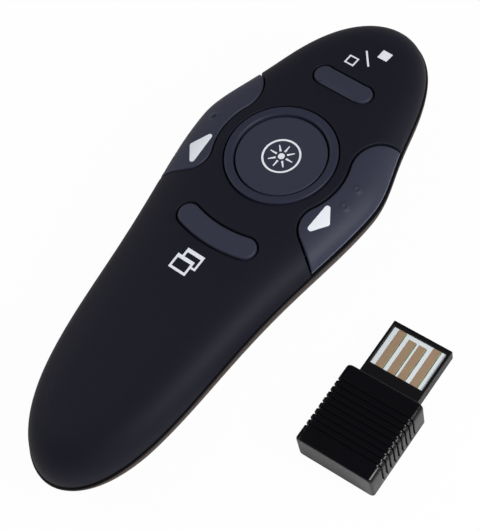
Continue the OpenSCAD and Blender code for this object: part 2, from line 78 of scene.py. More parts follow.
def length(name, mm, description):
    """A size property shown as a length, with its default written in millimetres."""
    return FloatProperty(name=name, description=description, default=float(mm) * MM, min=0, precision=5,
                         unit="LENGTH", subtype="DISTANCE")


def number(name, value, description):
    """A plain factor with no unit."""
    return FloatProperty(name=name, description=description, default=float(value))


def linear(code):
    """Linear colour, with alpha 1, of an sRGB hex value."""
    srgb = np.array([int(code[i:i + 2], 16) / 255 for i in (1, 3, 5)])
    rgb = np.where(srgb <= 0.04045, srgb / 12.92, ((srgb + 0.055) / 1.055) ** 2.4)
    return (*rgb.tolist(), 1.0)


def colour(name, code, description):
    """A colour property whose default is an sRGB hex value."""
    return FloatVectorProperty(name=name, description=description, default=linear(code), size=4, min=0,
                               max=1, subtype="COLOR")


def sizes(name):
    """A property group of the scene: its lengths in millimetres, and its other numbers as they are."""
    group, values = getattr(bpy.context.scene, "clicker_" + name), {}
    for prop in group.bl_rna.properties:
        if prop.type in {"FLOAT", "INT"} and not getattr(prop, "is_array", False):
            scale = 1 / MM if prop.type == "FLOAT" and prop.unit == "LENGTH" else 1
            values[prop.identifier] = getattr(group, prop.identifier) * scale
    return SimpleNamespace(**values)


# Taken from the packed model
NOSE_Y = span("upper_shell")[1][1]
RING_LOW, RING_HIGH = span("thumb_ring")
DISC_TOP = span("laser_key")[1][2]
PLUNGER_TOP = span("laser_plunger")[1][2]
RECEIVER_TOP = span("receiver_cover")[1][2]

# Least gap along Y from the outline's points to a wing's window, which takes their place there
WINDOW_CLEAR = 0.1
# Beyond every piece, and a square's corners
FAR = 60
CORNERS = np.array([(-1, -1), (1, -1), (1, 1), (-1, 1)])

# Points round the outlines, and the angles at which sections have their rings
OUTLINE_COUNT = 360
LOWER_COUNT = 320
DOME_STEPS = (3, 6, 9, 13, 18, 24, 30, 37, 45, 54, 64, 74)
WING_STEPS = (9, 12, 15, 19, 24, 30, 37, 45, 54, 64, 74)
ROUND_STEPS = (25, 50, 70, 90)
RIM_STEPS = (10, 35, 60, 90)
BOWL_START = 5
BOWL_END = 75

# Keys. Here and below, places repeat the packed model's own, in millimetres and degrees
# Wings: where the arc that faces the ring ends, and the corners' arcs do
NOSE_ANGLE = 22
TAIL_ANGLE = 27
NOSE_FILLET_END = 120
TAIL_FILLET_END = 236
WING_LIFT = 0.5
WING_STEM = (12.8, 8.6, 19.9)
# Lowest and highest corners of the right wing's lugs
LUGS = (((11.6, 23.4, 17.9), (13, 25.6, 20.0)), ((11.6, 25.6, 17.9), (13, 29, 18.4)),
        ((12.8, 5.3, 17.6), (14.4, 7.4, 19.6)), ((12.8, 1.2, 17.6), (14.4, 5.3, 18.2)))
# Stems, the curved key, and the flanges of both small keys: foot and top, and how far they stand out
STEM_R = 1.6
CRESCENT_Y = -3.1
CRESCENT_ANGLE = 15.1
SMALL_LIFT = 0.15
FLANGE = (18.4, 19.1)
BRIM = 0.7
# Flanges of the round key and the ring: radius, foot and top
DISC_FLANGE = (9.4, 18.6, 19.2)
DISC_STEM_R = 2.2
DISC_EDGE = 0.3
DISH_DEPTH = 0.35
DISH_RADIUS = 90
RING_FLANGE = (11.9, 19.2, 19.9)
RING_FOOT = 19.6
RING_INNER_ROUND = 0.5
RING_OUTER_ROUND = 0.3

# Screws: x, y, seat, the height where the casings' posts meet, and the upper post's top
SCREWS = ((-7.2, 40, 8.2, 11, 19.1), (7.2, 40, 8.2, 11, 19.1), (0, -46.5, 6.2, 8.2, 14.05))
PILOT_DEPTH = 7.5
PILOT_R = 0.85
POST_R = 1.85
POST_CAP = 0.3
BOSS_R = 2.6
HEAD_R = 2.2
SHANK_R = 1.15

# Bottom casing and door
RIM_ROUND = 0.25
TONGUE_DROP = 0.05
# How far below the parting groove the bottom casing's painted shade reaches, in mm
SEAM_SHADE_DEPTH = 0.05
# Height above the wings' foot over which their lower edge carries a painted highlight, in mm
EDGE_HIGHLIGHT_WIDTH = 0.14
CHANNEL_H = 4.8
DOOR_HALF = 5.6
DOOR_FLARE = 0.25
DOOR_FRONT = 7.7
DOOR_TOP = 4.5
FIT = 0.3
# Grip grooves: places along Y, and their (x, z) section
GRIP_GROOVES = (-20, -22, -24, -26, -28)
GRIP_SECTION = ((-4, -1), (4, -1), (4, 0.25), (3.6, 0.5), (-3.6, 0.5), (-4, 0.25))
GRIP_WIDTH = 0.9
# Round bores along Y: height, radius, back and front
CELL_ROOM = (7.3, 5.55, -44, 30)
LASER_BORES = ((10.4, 3.05, 41, 47.4), (10.4, 2.45, 41, 53.8))
# What stands inside the bottom casing: battery tub, cross rib, laser seat and the shelf over the door
INNER_BLOCKS = (((-6.8, -44.2, -1), (6.8, 8.9, 13.75)), ((-8, 27, -1), (8, 28.2, 13.75)),
                ((-4.4, 41.6, -1), (4.4, 54.6, 14.8)), ((-FAR, -FAR, 3.8), (FAR, -43, 6.4)))
# What is cut from it: battery bay, its open rear part and the slot for the contact's tab
OUTER_HOLES = (((-5.6, -43, 4.5), (5.6, 6, 12.75)), ((-5.6, -43, 4.5), (5.6, -24, FAR)),
               ((-1, 5.4, 11.75), (1, 6, 14.75)))

# Tactile dots: x, y, radius, height, and how deep the dimple in it is
BACK_DOTS = ((-15.9, 16.5, 0.85, 0.36, 1.5),)
FORWARD_DOTS = ((15.5, 18.1, 0.75, 0.2, 0.9), (15.7, 14.1, 0.75, 0.2, 0.9))
DOT_RINGS = (0.08, 0.2, 0.32, 0.44, 0.56, 0.7, 0.85, 1.0, 1.2)

# Prints
PRINT_ROOT = 0.1
BACK_TRIANGLE = ((-13.2, 14.05), (-16.0, 9.5), (-12.55, 5.4))
FORWARD_TRIANGLE = ((13.1, 13.65), (12.95, 5.5), (15.7, 9.75))
TRIANGLE_ROUND = 0.5
# Two overlapping windows as one outline, the front one's pane, and what shows of the back one's
WINDOWS = (((-3.0, -12.28), (0.72, -12.28), (0.72, -10.6), (1.72, -10.6), (1.72, -7.57), (-2.1, -7.57),
            (-2.1, -9.28), (-3.0, -9.28)),
           ((-2.58, -11.8), (0.3, -11.8), (0.3, -9.98), (-2.58, -9.98)),
           ((-1.65, -8.32), (1.32, -8.32), (1.32, -10.22), (0.72, -10.22), (0.72, -9.28), (-1.65, -9.28)))
# Blank-screen sign: two squares, and a slash between them by its centre, width, height and angle
HOLLOW_SQUARE = (-2.0, 40.1)
SOLID_SQUARE = (2.4, 44.4)
SQUARE = 2.05
SQUARE_HOLE = 1.45
SLASH = ((0.15, 42.05), 0.35, 3.8, 40.8)
# Light burst on the round key: a circle, a hub and rays
MARK_RADIUS = 3.6
MARK_LINE = 0.36
MARK_HUB = 0.62
MARK_RAYS = 8
MARK_RAY = ((1.05, -0.2), (2.45, -0.09), (2.45, 0.09), (1.05, 0.2))

# Receiver, in its own frame: its body centred and its plug pointing along +Y
RECEIVER_PLACE = (37.1, -12.7, 0)
SPLIT_Z = 3.5
END_ROUND = 0.6
TOP_ROUND = 0.35
LONG_ROUND = 1.0
FOOT_ROUND = 0.5
# Heights of the side's rows, of which those over 1 mm follow the grooves
SIDE_ROWS = (1.4, 1.12, 0.95, 0.7)
GROOVED_OVER = 1
# A groove's section: places across it, and shares of its depth there
GROOVE_ACROSS = (0.29, 0.25, 0.21, 0.18, -0.18, -0.21, -0.25, -0.29)
GROOVE_DEEP = (0, 0.12, 0.6, 1, 1, 0.6, 0.12, 0)
RECEIVER_HOLES = (((-6.6, -7.1, 1.2), (6.6, 7.1, 5.45)), ((-6.05, 0, 2.2), (6.05, 16.6, 4.85)))
# Rounding of the edges of the plug's packed nodes
PLUG_EDGES = {"plug_tray": 0.14, "receiver_board": 0.04, "plug_contacts": 0.04}
BOARD_TOP = 4.4
PRINT_TOP = 4.43
TEST_POINTS = ((-3.1, 18.8), (-0.6, 16.4), (1.4, 15.0), (3.1, 18.4), (3.4, 12.8))
TEST_POINT_R = 0.13
PAD_LINES = ((-2.8, 19.2), (-0.3, 18.4), (1.8, 18.4), (4.3, 19.2))
PAD_LINE_BACK = 11.3
PAD_LINE_WIDTH = 0.14

# Studio. The camera's place and directions are fitted to the handset's outline in the photo
FLOOR_HALF = 800
FLOOR_DROP = 0.02
CAMERA_PLACE = (113.2, -83.9, 242.8)
CAMERA_LOOK = (-0.4095, 0.3051, -0.8598)
CAMERA_UP = (-0.4847, 0.7256, 0.4884)
# Lamps: place and size
LAMPS = {"key_lamp": ((360, 40, 320), 200), "fill_lamp": ((-380, -100, 340), 340)}
LAMP_AIM = (10, 0, 15)


class HandsetShape(bpy.types.PropertyGroup):
    """Outline and heights of the handset."""

    half_length: length("Half length", NOSE_Y, "From mid-length to the nose")
    crown_height: length("Crown height", RING_HIGH[2], "Height of the crown at the thumb ring")
    ring_y: length("Ring place", (RING_LOW[1] + RING_HIGH[1]) / 2, "Thumb ring ahead of mid-length")
    nose_half: length("Nose half width", 17.2, "Half width that the front part settles to")
    tail_half: length("Handle half width", 14.4, "Half width that the handle settles to")
    swell: length("Swell", 3.9, "Extra half width beside the thumb ring")
    swell_y: length("Swell place", 16.8, "Middle of the swell")
    swell_front: length("Swell front", 10.9, "Spread of the swell towards the nose")
    swell_back: length("Swell back", 24.1, "Spread of the swell towards the tail")
    waist_length: length("Waist", 20, "Length over which handle and front part blend")
    nose_power: number("Nose squareness", 3.3, "Superellipse power of the nose in plan")
    tail_power: number("Tail squareness", 3.9, "Superellipse power of the tail in plan")
    crown_fall: number("Crown fall", 0.0015, "Fall of the crown per square millimetre from the ring")
    parting_height: length("Parting height", 17.75, "Highest point of the parting line")
    parting_y: length("Parting place", 22.3, "Where the parting line is highest")
    parting_fall: number("Parting fall", 0.00169, "Fall of the parting line per square millimetre")
    dome_power: number("Dome power", 4.6, "Squareness of the top casing's section")
    bowl_power: number("Bowl power", 1.4, "Squareness of the bottom casing's section")
    end_radius: length("End radius", 14, "Length of each rounded end of the spine")
    rim_proud: length("Rim", 0.35, "How far the bottom casing's rim stands out")
    groove_height: length("Groove height", 0.45, "Height of the parting groove")
    groove_depth: length("Groove depth", 0.6, "Depth of the parting groove")
    sole_cut: length("Sole cut", 5, "How much of the bowl the flat underside cuts off")
    wall: length("Wall", 1.8, "Thickness of both casings")
    sole: length("Sole", 1.6, "Thickness of the underside")


class KeySizes(bpy.types.PropertyGroup):
    """Keys and their windows in the top casing."""

    gap: length("Gap", 0.35, "Gap round each key")
    edge: length("Edge round", 0.4, "Rounding of the keys' edges")
    window_edge: length("Window round", 0.22, "Rounding of the casing's window edges")
    window_radius: length("Ring window", 10.6, "Radius of the ring's window")
    ring_radius: length("Ring radius", 10.3, "Outer radius of the thumb ring")
    ring_bore: length("Ring bore", 8.65, "Inner radius of the thumb ring")
    disc_radius: length("Disc radius", 8.35, "Radius of the laser key")
    wing_arc: length("Wing arc", 12.7, "Radius of the wings' inner edge")
    nose_fillet: length("Nose fillet", 6.5, "Radius of the wings' front corner")
    tail_fillet: length("Tail fillet", 4.6, "Radius of the wings' rear corner")
    pill_y: length("Pill place", 34.8, "Middle of the nose key")
    pill_half: length("Pill half", 4.2, "Half distance of the nose key's lobes")
    pill_radius: length("Pill radius", 2.15, "Lobe radius of the nose key")
    crescent_arc: length("Crescent arc", 24.5, "Centre radius of the curved key")
    crescent_radius: length("Crescent radius", 2.25, "Half width of the curved key")
    print_height: length("Print height", 0.03, "How far a print stands above its surface")


class ReceiverSizes(bpy.types.PropertyGroup):
    """The receiver beside the handset."""

    width: length("Width", 15.6, "Width of the body")
    body_length: length("Length", 16.6, "Length of the body")
    height: length("Height", RECEIVER_TOP, "Height of the body")
    rib_pitch: length("Rib pitch", 1.23, "Distance between ribs")
    rib_start: length("First groove", 3.5, "First groove behind the body's front")
    rib_depth: length("Groove depth", 0.35, "Depth of the grooves between ribs")
    ribs: IntProperty(name="Grooves", description="Number of grooves", default=9, min=1)
    turn: FloatProperty(name="Turn", description="Turn on the table", default=math.radians(3),
                        unit="ROTATION", subtype="ANGLE")


class FinishColours(bpy.types.PropertyGroup):
    """Colours of the object's finishes."""

    casing: colour("Top casing", "#161624", "Soft black of the top casing")
    lower: colour("Bottom casing", "#3a3332", "Warm dark grey of the bottom casing")
    keys: colour("Keys", "#333547", "Dark blue grey of the keys")
    ring: colour("Ring", "#2e3042", "Dark blue grey of the ring")
    ink: colour("Ink", "#f2f6fd", "Cool white of the prints")
    receiver: colour("Receiver", "#0b0b10", "Black of the receiver")
    mask: colour("White mask", "#eef4f8", "White of the plug's board")
    pads: colour("Pads", "#c0a284", "Gold of the plug's pads")


class StudioSetup(bpy.types.PropertyGroup):
    """Camera and lamps."""

    lens: FloatProperty(name="Lens", description="Focal length", default=112.5, unit="CAMERA",
                        subtype="DISTANCE_CAMERA")
    ambient: number("Ambient", 0.28, "Strength of the world for matte surfaces")
    horizon: number("Horizon", 0.6, "Strength of the world near the horizon in reflections")
    ceiling: number("Ceiling", 0.06, "Strength of the world overhead in reflections")
    key_lamp: number("Key lamp", 1.5, "Power of the lamp at the front right, in watts")
    fill_lamp: number("Fill lamp", 0.6, "Power of the lamp at the rear left, in watts")
    whiteness: number("Whiteness", 0.97, "How little of the floor's shadow the camera sees")


# ---------------------------------------------------------------- handset formulas


def half_width(y, s):
    """Half width at y: the two widths blended, plus a swell, times a superelliptic end."""
    spread = np.where(y > s.swell_y, s.swell_front, s.swell_back)
    swell = s.swell * np.exp(-(((y - s.swell_y) / spread) ** 2))
    blend = 1 / (1 + np.exp(-2 * (y - s.swell_y) / s.waist_length))
    power = np.where(y > 0, s.nose_power, s.tail_power)
    end = np.sqrt(np.clip(1 - np.abs(y / s.half_length) ** power, 0, None))
    return (s.tail_half + (s.nose_half - s.tail_half) * blend + swell) * end


def crown_z(y, s):
    """Height of the crown: a parabola along the handset, highest at the ring."""
    return s.crown_height - s.crown_fall * (y - s.ring_y) ** 2


def parting_z(y, s):
    """Height of the parting line: a parabola along the handset."""
    return s.parting_height - s.parting_fall * (y - s.parting_y) ** 2


def outline(count, s):
    """Plan outline, clockwise from above: y goes as a cosine, so the ends get close points."""
    turn = 2 * np.pi * np.arange(count) / count
    y = s.half_length * np.cos(turn)
    return np.stack([np.where(turn < np.pi, 1, -1) * half_width(y, s), y], 1)


def normals_of(line, closed):
    """Unit normals of a plan line, to the left of its direction."""
    step = np.roll(line, -1, 0) - np.roll(line, 1, 0) if closed else np.gradient(line, axis=0)
    step /= np.linalg.norm(step, axis=1, keepdims=True)
    return np.stack([-step[:, 1], step[:, 0]], 1)


def inset(loop, by):
    """A clockwise closed loop moved inwards."""
    return loop - by * normals_of(loop, True)


def to_spine(points, share, s):
    """Points moved towards the spine, a line on the centre that stops short of both ends."""
    reach = s.half_length - s.end_radius
    spine = np.stack([0 * points[:, 0], np.clip(points[:, 1], -reach, reach)], 1)
    return spine + (points - spine) * share


def share_of(points, s):
    """How far each point lies from the spine, 0, to the outline, 1. The ray's end is found by halving."""
    reach = s.half_length - s.end_radius
    spine_y = np.clip(points[:, 1], -reach, reach)
    across, along = np.abs(points[:, 0]), points[:, 1] - spine_y
    low, high = np.full(len(points), -1.0), np.full(len(points), 9.0)
    for _ in range(44):
        middle = (low + high) / 2
        reached = np.exp(middle)
        outside = across * reached >= half_width(spine_y + along * reached, s)
        low, high = np.where(outside, low, middle), np.where(outside, middle, high)
    return np.exp(-(low + high) / 2)


def dome_z(points, s):
    """Height of the top casing: a superellipse from the parting line up to the crown."""
    part = parting_z(points[:, 1], s)
    rise = np.sqrt(np.clip(1 - share_of(points, s) ** s.dome_power, 0, 1))
    return part + (crown_z(points[:, 1], s) - part) * rise


# ---------------------------------------------------------------- mesh helpers
# A part is its points in millimetres and its faces, as a list of arrays with one row for each face.


def solid_from(name, parts, smooth=35):
    """Object from closed parts: doubles welded, and smooth but for edges over an angle."""
    starts = np.cumsum([0] + [len(points) for points, _ in parts])
    points = np.concatenate([points for points, _ in parts]) * MM
    faces = [face for start, (_, groups) in zip(starts, parts)
             for group in groups for face in (group + start).tolist()]
    mesh = bpy.data.meshes.new(name)
    mesh.from_pydata(points.tolist(), [], faces)
    return welded(name, mesh, smooth)


def placed(name, data):
    """A new object in the scene."""
    obj = bpy.data.objects.new(name, data)
    bpy.context.scene.collection.objects.link(obj)
    return obj


def welded(name, mesh, smooth=35, flat=0):
    """Object round a mesh: doubles merged, faces under a flat angle joined, and sharp edges marked."""
    work = bmesh.new()
    work.from_mesh(mesh)
    bmesh.ops.remove_doubles(work, verts=work.verts, dist=1e-6)
    if flat:
        bmesh.ops.dissolve_limit(work, angle_limit=math.radians(flat), verts=work.verts, edges=work.edges)
    bmesh.ops.dissolve_degenerate(work, edges=work.edges, dist=1e-7)
    work.to_mesh(mesh)
    work.free()
    mesh.polygons.foreach_set("use_smooth", [True] * len(mesh.polygons))
    mesh.set_sharp_from_angle(angle=math.radians(smooth))
    return placed(name, mesh)


def dressed(obj, body, slot):
    """Gives a piece its finish, and the body that it rides on."""
    obj.data.materials.clear()
    obj.data.materials.append(finish(slot))
    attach(obj, body)


def stands_for(obj, node):
    """Gives a piece the body, slot and finish of the packed node that it stands for."""
    dressed(obj, BODY_OF[node], SLOT_OF[node])
    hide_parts(node)


def loft(loops):
    """Closed solid through loops (rings, count, 3), clockwise from above and stacked bottom to top.

    Each loop mirrors itself about its first point, and the caps are strips between mirrored points."""
    rings, count, _ = loops.shape
    k, j = np.meshgrid(np.arange(rings - 1) * count, np.arange(count), indexing="ij")
    beside = (j + 1) % count
    sides = np.stack([k + count + j, k + count + beside, k + beside, k + j], 2).reshape(-1, 4)
    strip = np.arange(1, count // 2 - 1)
    cap = np.stack([strip, strip + 1, count - strip - 1, count - strip], 1)
    ends = np.array([[0, 1, count - 1], [count // 2 - 1, count // 2, count // 2 + 1]])
    top = (rings - 1) * count
    return loops.reshape(-1, 3), [sides, cap, ends, cap[:, ::-1] + top, ends[:, ::-1] + top]


def prism(loop, low, high):
    """Closed upright prism over a counter-clockwise plan loop."""
    count = len(loop)
    points = np.concatenate([np.c_[loop, np.full(count, low)], np.c_[loop, np.full(count, high)]])
    j = np.arange(count)
    sides = np.stack([j, (j + 1) % count, (j + 1) % count + count, j + count], 1)
    return points, [sides, j[None, ::-1], j[None] + count]


def block(low, high):
    """Closed box from its lowest to its highest corner."""
    x, y = np.array([low[:2], high[:2]], float).T
    return prism(np.stack([x[[0, 1, 1, 0]], y[[0, 0, 1, 1]]], 1), low[2], high[2])


def bar(section, back, front):
    """Closed bar of a counter-clockwise (x, z) section carried along Y."""
    points, faces = prism(np.asarray(section, float), -front, -back)
    return laid(points), faces


def bore(room, count=48):
    """Closed round bar along Y on the centre line: height, radius, back and front."""
    height, radius, back, front = room
    return bar(circle((0, height), radius, count), back, front)


def laid(points):
    """Points made upright, turned so that up becomes back: (x, y, z) to (x, -z, y)."""
    return np.stack([points[..., 0], -points[..., 2], points[..., 1]], -1)


def lathe(profile, centre, count=128):
    """Closed solid of a closed, clockwise (radius, height) profile turned about an upright axis."""
    profile = np.asarray(profile, float)
    turn = 2 * np.pi * np.arange(count) / count
    x = centre[0] + profile[:, :1] * np.cos(turn)
    y = centre[1] + profile[:, :1] * np.sin(turn)
    points = np.stack([x, y, np.repeat(profile[:, 1:], count, 1)], 2).reshape(-1, 3)
    k, j = np.meshgrid(np.arange(len(profile)), np.arange(count), indexing="ij")
    after, beside = (k + 1) % len(profile), (j + 1) % count
    faces = np.stack([k * count + j, after * count + j, after * count + beside, k * count + beside], 2)
    return points, [faces.reshape(-1, 4)]


def arc(centre, radius, start, stop, count):
    """Points of an arc from one angle to another, in degrees, both ends included."""
    turn = np.radians(np.linspace(start, stop, count))
    return np.asarray(centre, float) + radius * np.stack([np.cos(turn), np.sin(turn)], 1)


def circle(centre, radius, count=48):
    """Points of a full circle, counter-clockwise."""
    return arc(centre, radius, 0, 360, count + 1)[:-1]


def inside(points, loop):
    """Which points lie inside a closed loop: those with an odd number of its edges to their right."""
    a, b = loop, np.roll(loop, -1, 0)
    x, y = points[:, :1], points[:, 1:]
    crosses = (a[:, 1] > y) != (b[:, 1] > y)
    rise = np.where(a[:, 1] == b[:, 1], 1, b[:, 1] - a[:, 1])
    at = a[:, 0] + (y - a[:, 1]) * (b[:, 0] - a[:, 0]) / rise
    return (crosses & (x < at)).sum(1) % 2 == 1


def distance_to(points, lines):
    """Distance from each point to the nearest of some plan lines."""
    best = np.full(len(points), np.inf)
    for line in lines:
        start, step = line[:-1], np.diff(line, axis=0)
        away = points[:, None] - start
        along = np.clip((away * step).sum(2) / (step ** 2).sum(1), 0, 1)
        best = np.minimum(best, np.linalg.norm(away - along[..., None] * step, axis=2).min(1))
    return best


def closed(loop):
    """A loop as a line that ends where it starts."""
    return np.concatenate([loop, loop[:1]])


def lid(loops, extra, top, under, rounded=(), radius=0.0):
    """Closed solid over a plan region, which is inside an odd number of the loops.

    Its upper face is at top() less a quarter round along the rounded lines, and its lower face at
    under(). Triangles join the loops, extra points, and lines of points beside the rounded lines."""
    def keep(points):
        return sum(inside(points, loop).astype(int) for loop in loops) % 2 == 1

    # Extra points keep clear of the rounding, which has its own
    if rounded:
        extra = extra[distance_to(extra, rounded) > radius * 1.2]
    beside = [line + side * radius * (1 - math.cos(math.radians(a))) * normals_of(line, False)
              for line in rounded for a in ROUND_STEPS for side in (-1, 1)]
    inner = np.concatenate([extra, *beside])
    inner = inner[keep(inner)]
    edges, count = [], 0
    for loop in loops:
        j = np.arange(len(loop))
        edges += (np.stack([j, (j + 1) % len(loop)], 1) + count).tolist()
        count += len(loop)
    plan = [Vector(p) for p in np.concatenate([*loops, inner]).tolist()]
    points, _, faces, *_ = delaunay_2d_cdt(plan, edges, [], 0, 1e-5)
    points, faces = np.array([p[:] for p in points]), np.array(faces)
    corners = points[faces]
    first, second = corners[:, 1] - corners[:, 0], corners[:, 2] - corners[:, 0]
    area = first[:, 0] * second[:, 1] - first[:, 1] * second[:, 0]
    faces = np.where(area[:, None] < 0, faces[:, ::-1], faces)
    faces = faces[keep(corners.mean(1)) & (np.abs(area) > 1e-7)]
    low = under(points) + 0 * points[:, 0]
    high = top(points)
    if rounded:
        near = np.clip(distance_to(points, rounded), 0, radius)
        high = high - radius + np.sqrt(radius ** 2 - (radius - near) ** 2)
    high = np.maximum(high, low)
    sides = np.concatenate([faces[:, [0, 1]], faces[:, [1, 2]], faces[:, [2, 0]]])
    _, index, times = np.unique(np.sort(sides, 1), axis=0, return_index=True, return_counts=True)
    border, total = sides[index[times == 1]], len(points)
    walls = np.stack([border[:, 1], border[:, 0], border[:, 0] + total, border[:, 1] + total], 1)
    return np.concatenate([np.c_[points, high], np.c_[points, low]]), [faces, faces[:, ::-1] + total, walls]


def carved(obj, cutters, operation="DIFFERENCE"):
    """Applies a boolean by some objects, and removes them."""
    tools = bpy.data.collections.new("cutters")
    bpy.context.scene.collection.children.link(tools)
    for cutter in cutters:
        bpy.context.scene.collection.objects.unlink(cutter)
        tools.objects.link(cutter)
    change = obj.modifiers.new("carve", "BOOLEAN")
    change.operation, change.solver = operation, "EXACT"
    change.operand_type, change.collection = "COLLECTION", tools
    graph = bpy.context.evaluated_depsgraph_get()
    mesh = bpy.data.meshes.new_from_object(obj.evaluated_get(graph))
    obj.modifiers.clear()
    obj.data = mesh
    for cutter in cutters:
        bpy.data.objects.remove(cutter)
    bpy.data.collections.remove(tools)
    return obj


def cut(obj, *parts):
    """Cuts closed parts away from an object, one solid for each part."""
    return carved(obj, [solid_from("cutter", [part]) for part in parts])


def finished(name, obj, smooth):
    """An object of a new name round a mesh that was cut, merged and marked again."""
    mesh = obj.data
    bpy.data.objects.remove(obj)
    return welded(name, mesh, smooth)


def softened(node, width):
    """A copy of a packed node with its triangles merged into flat faces and its edges rounded."""
    obj = welded(node + "_piece", frame["nodes"][node].data.copy(), flat=2)
    bevel = obj.modifiers.new("edges", "BEVEL")
    bevel.width, bevel.segments = width * MM, 2
    bevel.limit_method, bevel.angle_limit = "ANGLE", math.radians(35)
    bevel.harden_normals = True
    return obj


# ---------------------------------------------------------------- materials


# Colour is a hex value or the name of a user's colour. Grain and depth are the grain's size and height in
# mm. Mottle and spread say how much colour and roughness vary. Stretch is the grain's scale along X, Y, Z.
Finish = namedtuple("Finish", "name colour roughness grain depth mottle spread stretch sockets",
                    defaults=((1, 1, 1), {}))
METAL = {"Metallic": 1.0}
BROADER = 18

FINISHES = {
    # Spark-eroded ABS under a soft-touch lacquer: almost no gloss, and a warm bloom at grazing angles
    "upper_casing": Finish("matte_spark_eroded_abs", "casing", 0.6, 0.16, 0.005, 0.08, 0.05, sockets={
        "Specular IOR Level": 0.2, "Sheen Weight": 0.06, "Sheen Roughness": 0.3,
        "Sheen Tint": linear("#c8aca0")}),
    # Moulded ABS without the lacquer: warmer, lighter and a little coarser, with painted shade near black
    # along its parting groove
    "lower_casing": Finish("moulded_warm_grey_abs", "lower", 0.58, 0.2, 0.008, 0.1, 0.06, sockets={
        "Specular IOR Level": 0.25, "Sheen Weight": 0.16, "Sheen Roughness": 0.3,
        "Sheen Tint": linear("#d8a890")}),
    # Moulded PC-ABS keys with a fine even matte face, and a painted highlight along the wings' lower edge
    "key_plastic": Finish("moulded_key_pc_abs", "keys", 0.55, 0.12, 0.004, 0.06, 0.04,
                          sockets={"Specular IOR Level": 0.3}),
    # The same plastic from a smoother tool
    "ring_plastic": Finish("moulded_ring_pc_abs", "ring", 0.48, 0.12, 0.003, 0.06, 0.05,
                           sockets={"Specular IOR Level": 0.25}),
    # Pad-printed ink: thin, slightly chalky and a little uneven
    "ink": Finish("pad_printed_ink", "ink", 0.6, 0.1, 0.002, 0.03, 0.05, sockets={"Specular IOR Level": 0.2}),
    # Natural nylon: milky, and waxy rather than glossy
    "plunger_nylon": Finish("natural_nylon", "#e6e0d2", 0.42, 0.3, 0.003, 0.04, 0.05, sockets={
        "Subsurface Weight": 0.15, "Subsurface Radius": (0.001, 0.0008, 0.0006), "IOR": 1.53}),
    # Stamped stainless cover: drawn lines one way
    "switch_case": Finish("stamped_stainless", "#b9bcc0", 0.32, 0.1, 0.002, 0.1, 0.08, (1, 14, 1), METAL),
    # Nickel over steel: bright and nearly smooth
    "plated_can": Finish("nickel_plated_can", "#cbccd0", 0.24, 0.25, 0.002, 0.06, 0.06, sockets=METAL),
    # Transfer-moulded epoxy: fine, dull and grey-black
    "chip_epoxy": Finish("moulded_epoxy", "#222226", 0.6, 0.1, 0.006, 0.15, 0.06),
    # Etched copper: dulled in patches by handling
    "copper_track": Finish("printed_copper", "#c0814f", 0.35, 0.3, 0.003, 0.12, 0.08, sockets=METAL),
    # Fired ceramic: tan and even
    "capacitor_ceramic": Finish("fired_ceramic", "#a8895f", 0.5, 0.15, 0.004, 0.12, 0.06),
    # Turned brass: tool marks run round the barrel, so the grain is long across and short along it
    "barrel_brass": Finish("turned_brass", "#c9a75c", 0.26, 0.5, 0.004, 0.08, 0.08, (1, 9, 1), METAL),
    # Polished optical glass: clear, with no grain to speak of
    "lens_glass": Finish("polished_glass", "#eef6fa", 0.04, 2.0, 0.0002, 0.02, 0.02, sockets={
        "Transmission Weight": 1.0, "IOR": 1.52}),
    # Extruded PVC: soft satin
    "lead_sleeve": Finish("pvc_lead_sleeve", "#a8301f", 0.45, 0.3, 0.003, 0.08, 0.05),
    # Polished dark red acrylic
    "window_tint": Finish("tinted_acrylic", "#4d0a0e", 0.08, 2.0, 0.0003, 0.05, 0.03, sockets={
        "Transmission Weight": 0.6, "IOR": 1.49}),
    # Nickel-plated spring steel: drawing lines along the wire
    "plated_spring": Finish("nickel_plated_spring", "#c4c5c9", 0.28, 0.15, 0.002, 0.08, 0.08, (1, 5, 1),
                            METAL),
    # Zinc plating: grey and slightly cloudy
    "screw_steel": Finish("zinc_plated_steel", "#8f9196", 0.38, 0.4, 0.003, 0.12, 0.1, sockets=METAL),
    # Polished ABS: glossy black, its highlights broken by faint flow marks
    "receiver_plastic": Finish("polished_black_abs", "receiver", 0.2, 0.6, 0.002, 0.1, 0.05,
                               sockets={"Specular IOR Level": 0.34}),
    # The same black straight from a duller tool
    "tray_plastic": Finish("moulded_black_abs", "receiver", 0.4, 0.2, 0.004, 0.12, 0.06,
                           sockets={"Specular IOR Level": 0.4}),
    # White solder mask: glazed and even
    "white_mask": Finish("white_solder_mask", "mask", 0.35, 0.5, 0.003, 0.03, 0.05),
    # Gold flash over nickel, rubbed along its length by use
    "gold_pads": Finish("gold_flashed_pad", "pads", 0.4, 0.12, 0.003, 0.24, 0.1, (5, 1, 1),
                        {"Metallic": 0.3}),
    # Green solder mask over copper
    "green_board": Finish("green_solder_mask", "#1f5a38", 0.3, 0.4, 0.004, 0.1, 0.05),
    # Printed sleeve of a dry cell, blue grey
    "cell_wrap": Finish("printed_cell_sleeve", "#3c5a76", 0.3, 0.8, 0.002, 0.05, 0.05),
}
FINISHES["battery_cover"] = FINISHES["lower_casing"]


def add(tree, kind, inputs=None, **settings):
    """Adds a shader node. Settings are its own properties, and an input given a node or socket is linked."""
    node = tree.nodes.new("ShaderNode" + kind)
    for name, value in settings.items():
        setattr(node, name, value)
    for name, value in (inputs or {}).items():
        if isinstance(value, bpy.types.Node):
            value = value.outputs[0]
        if isinstance(value, bpy.types.NodeSocket):
            tree.links.new(value, node.inputs[name])
        else:
            node.inputs[name].default_value = value
    return node


def shaded(rgba, factor):
    """A colour made darker or lighter by a factor."""
    return (*[min(1.0, c * factor) for c in rgba[:3]], 1.0)


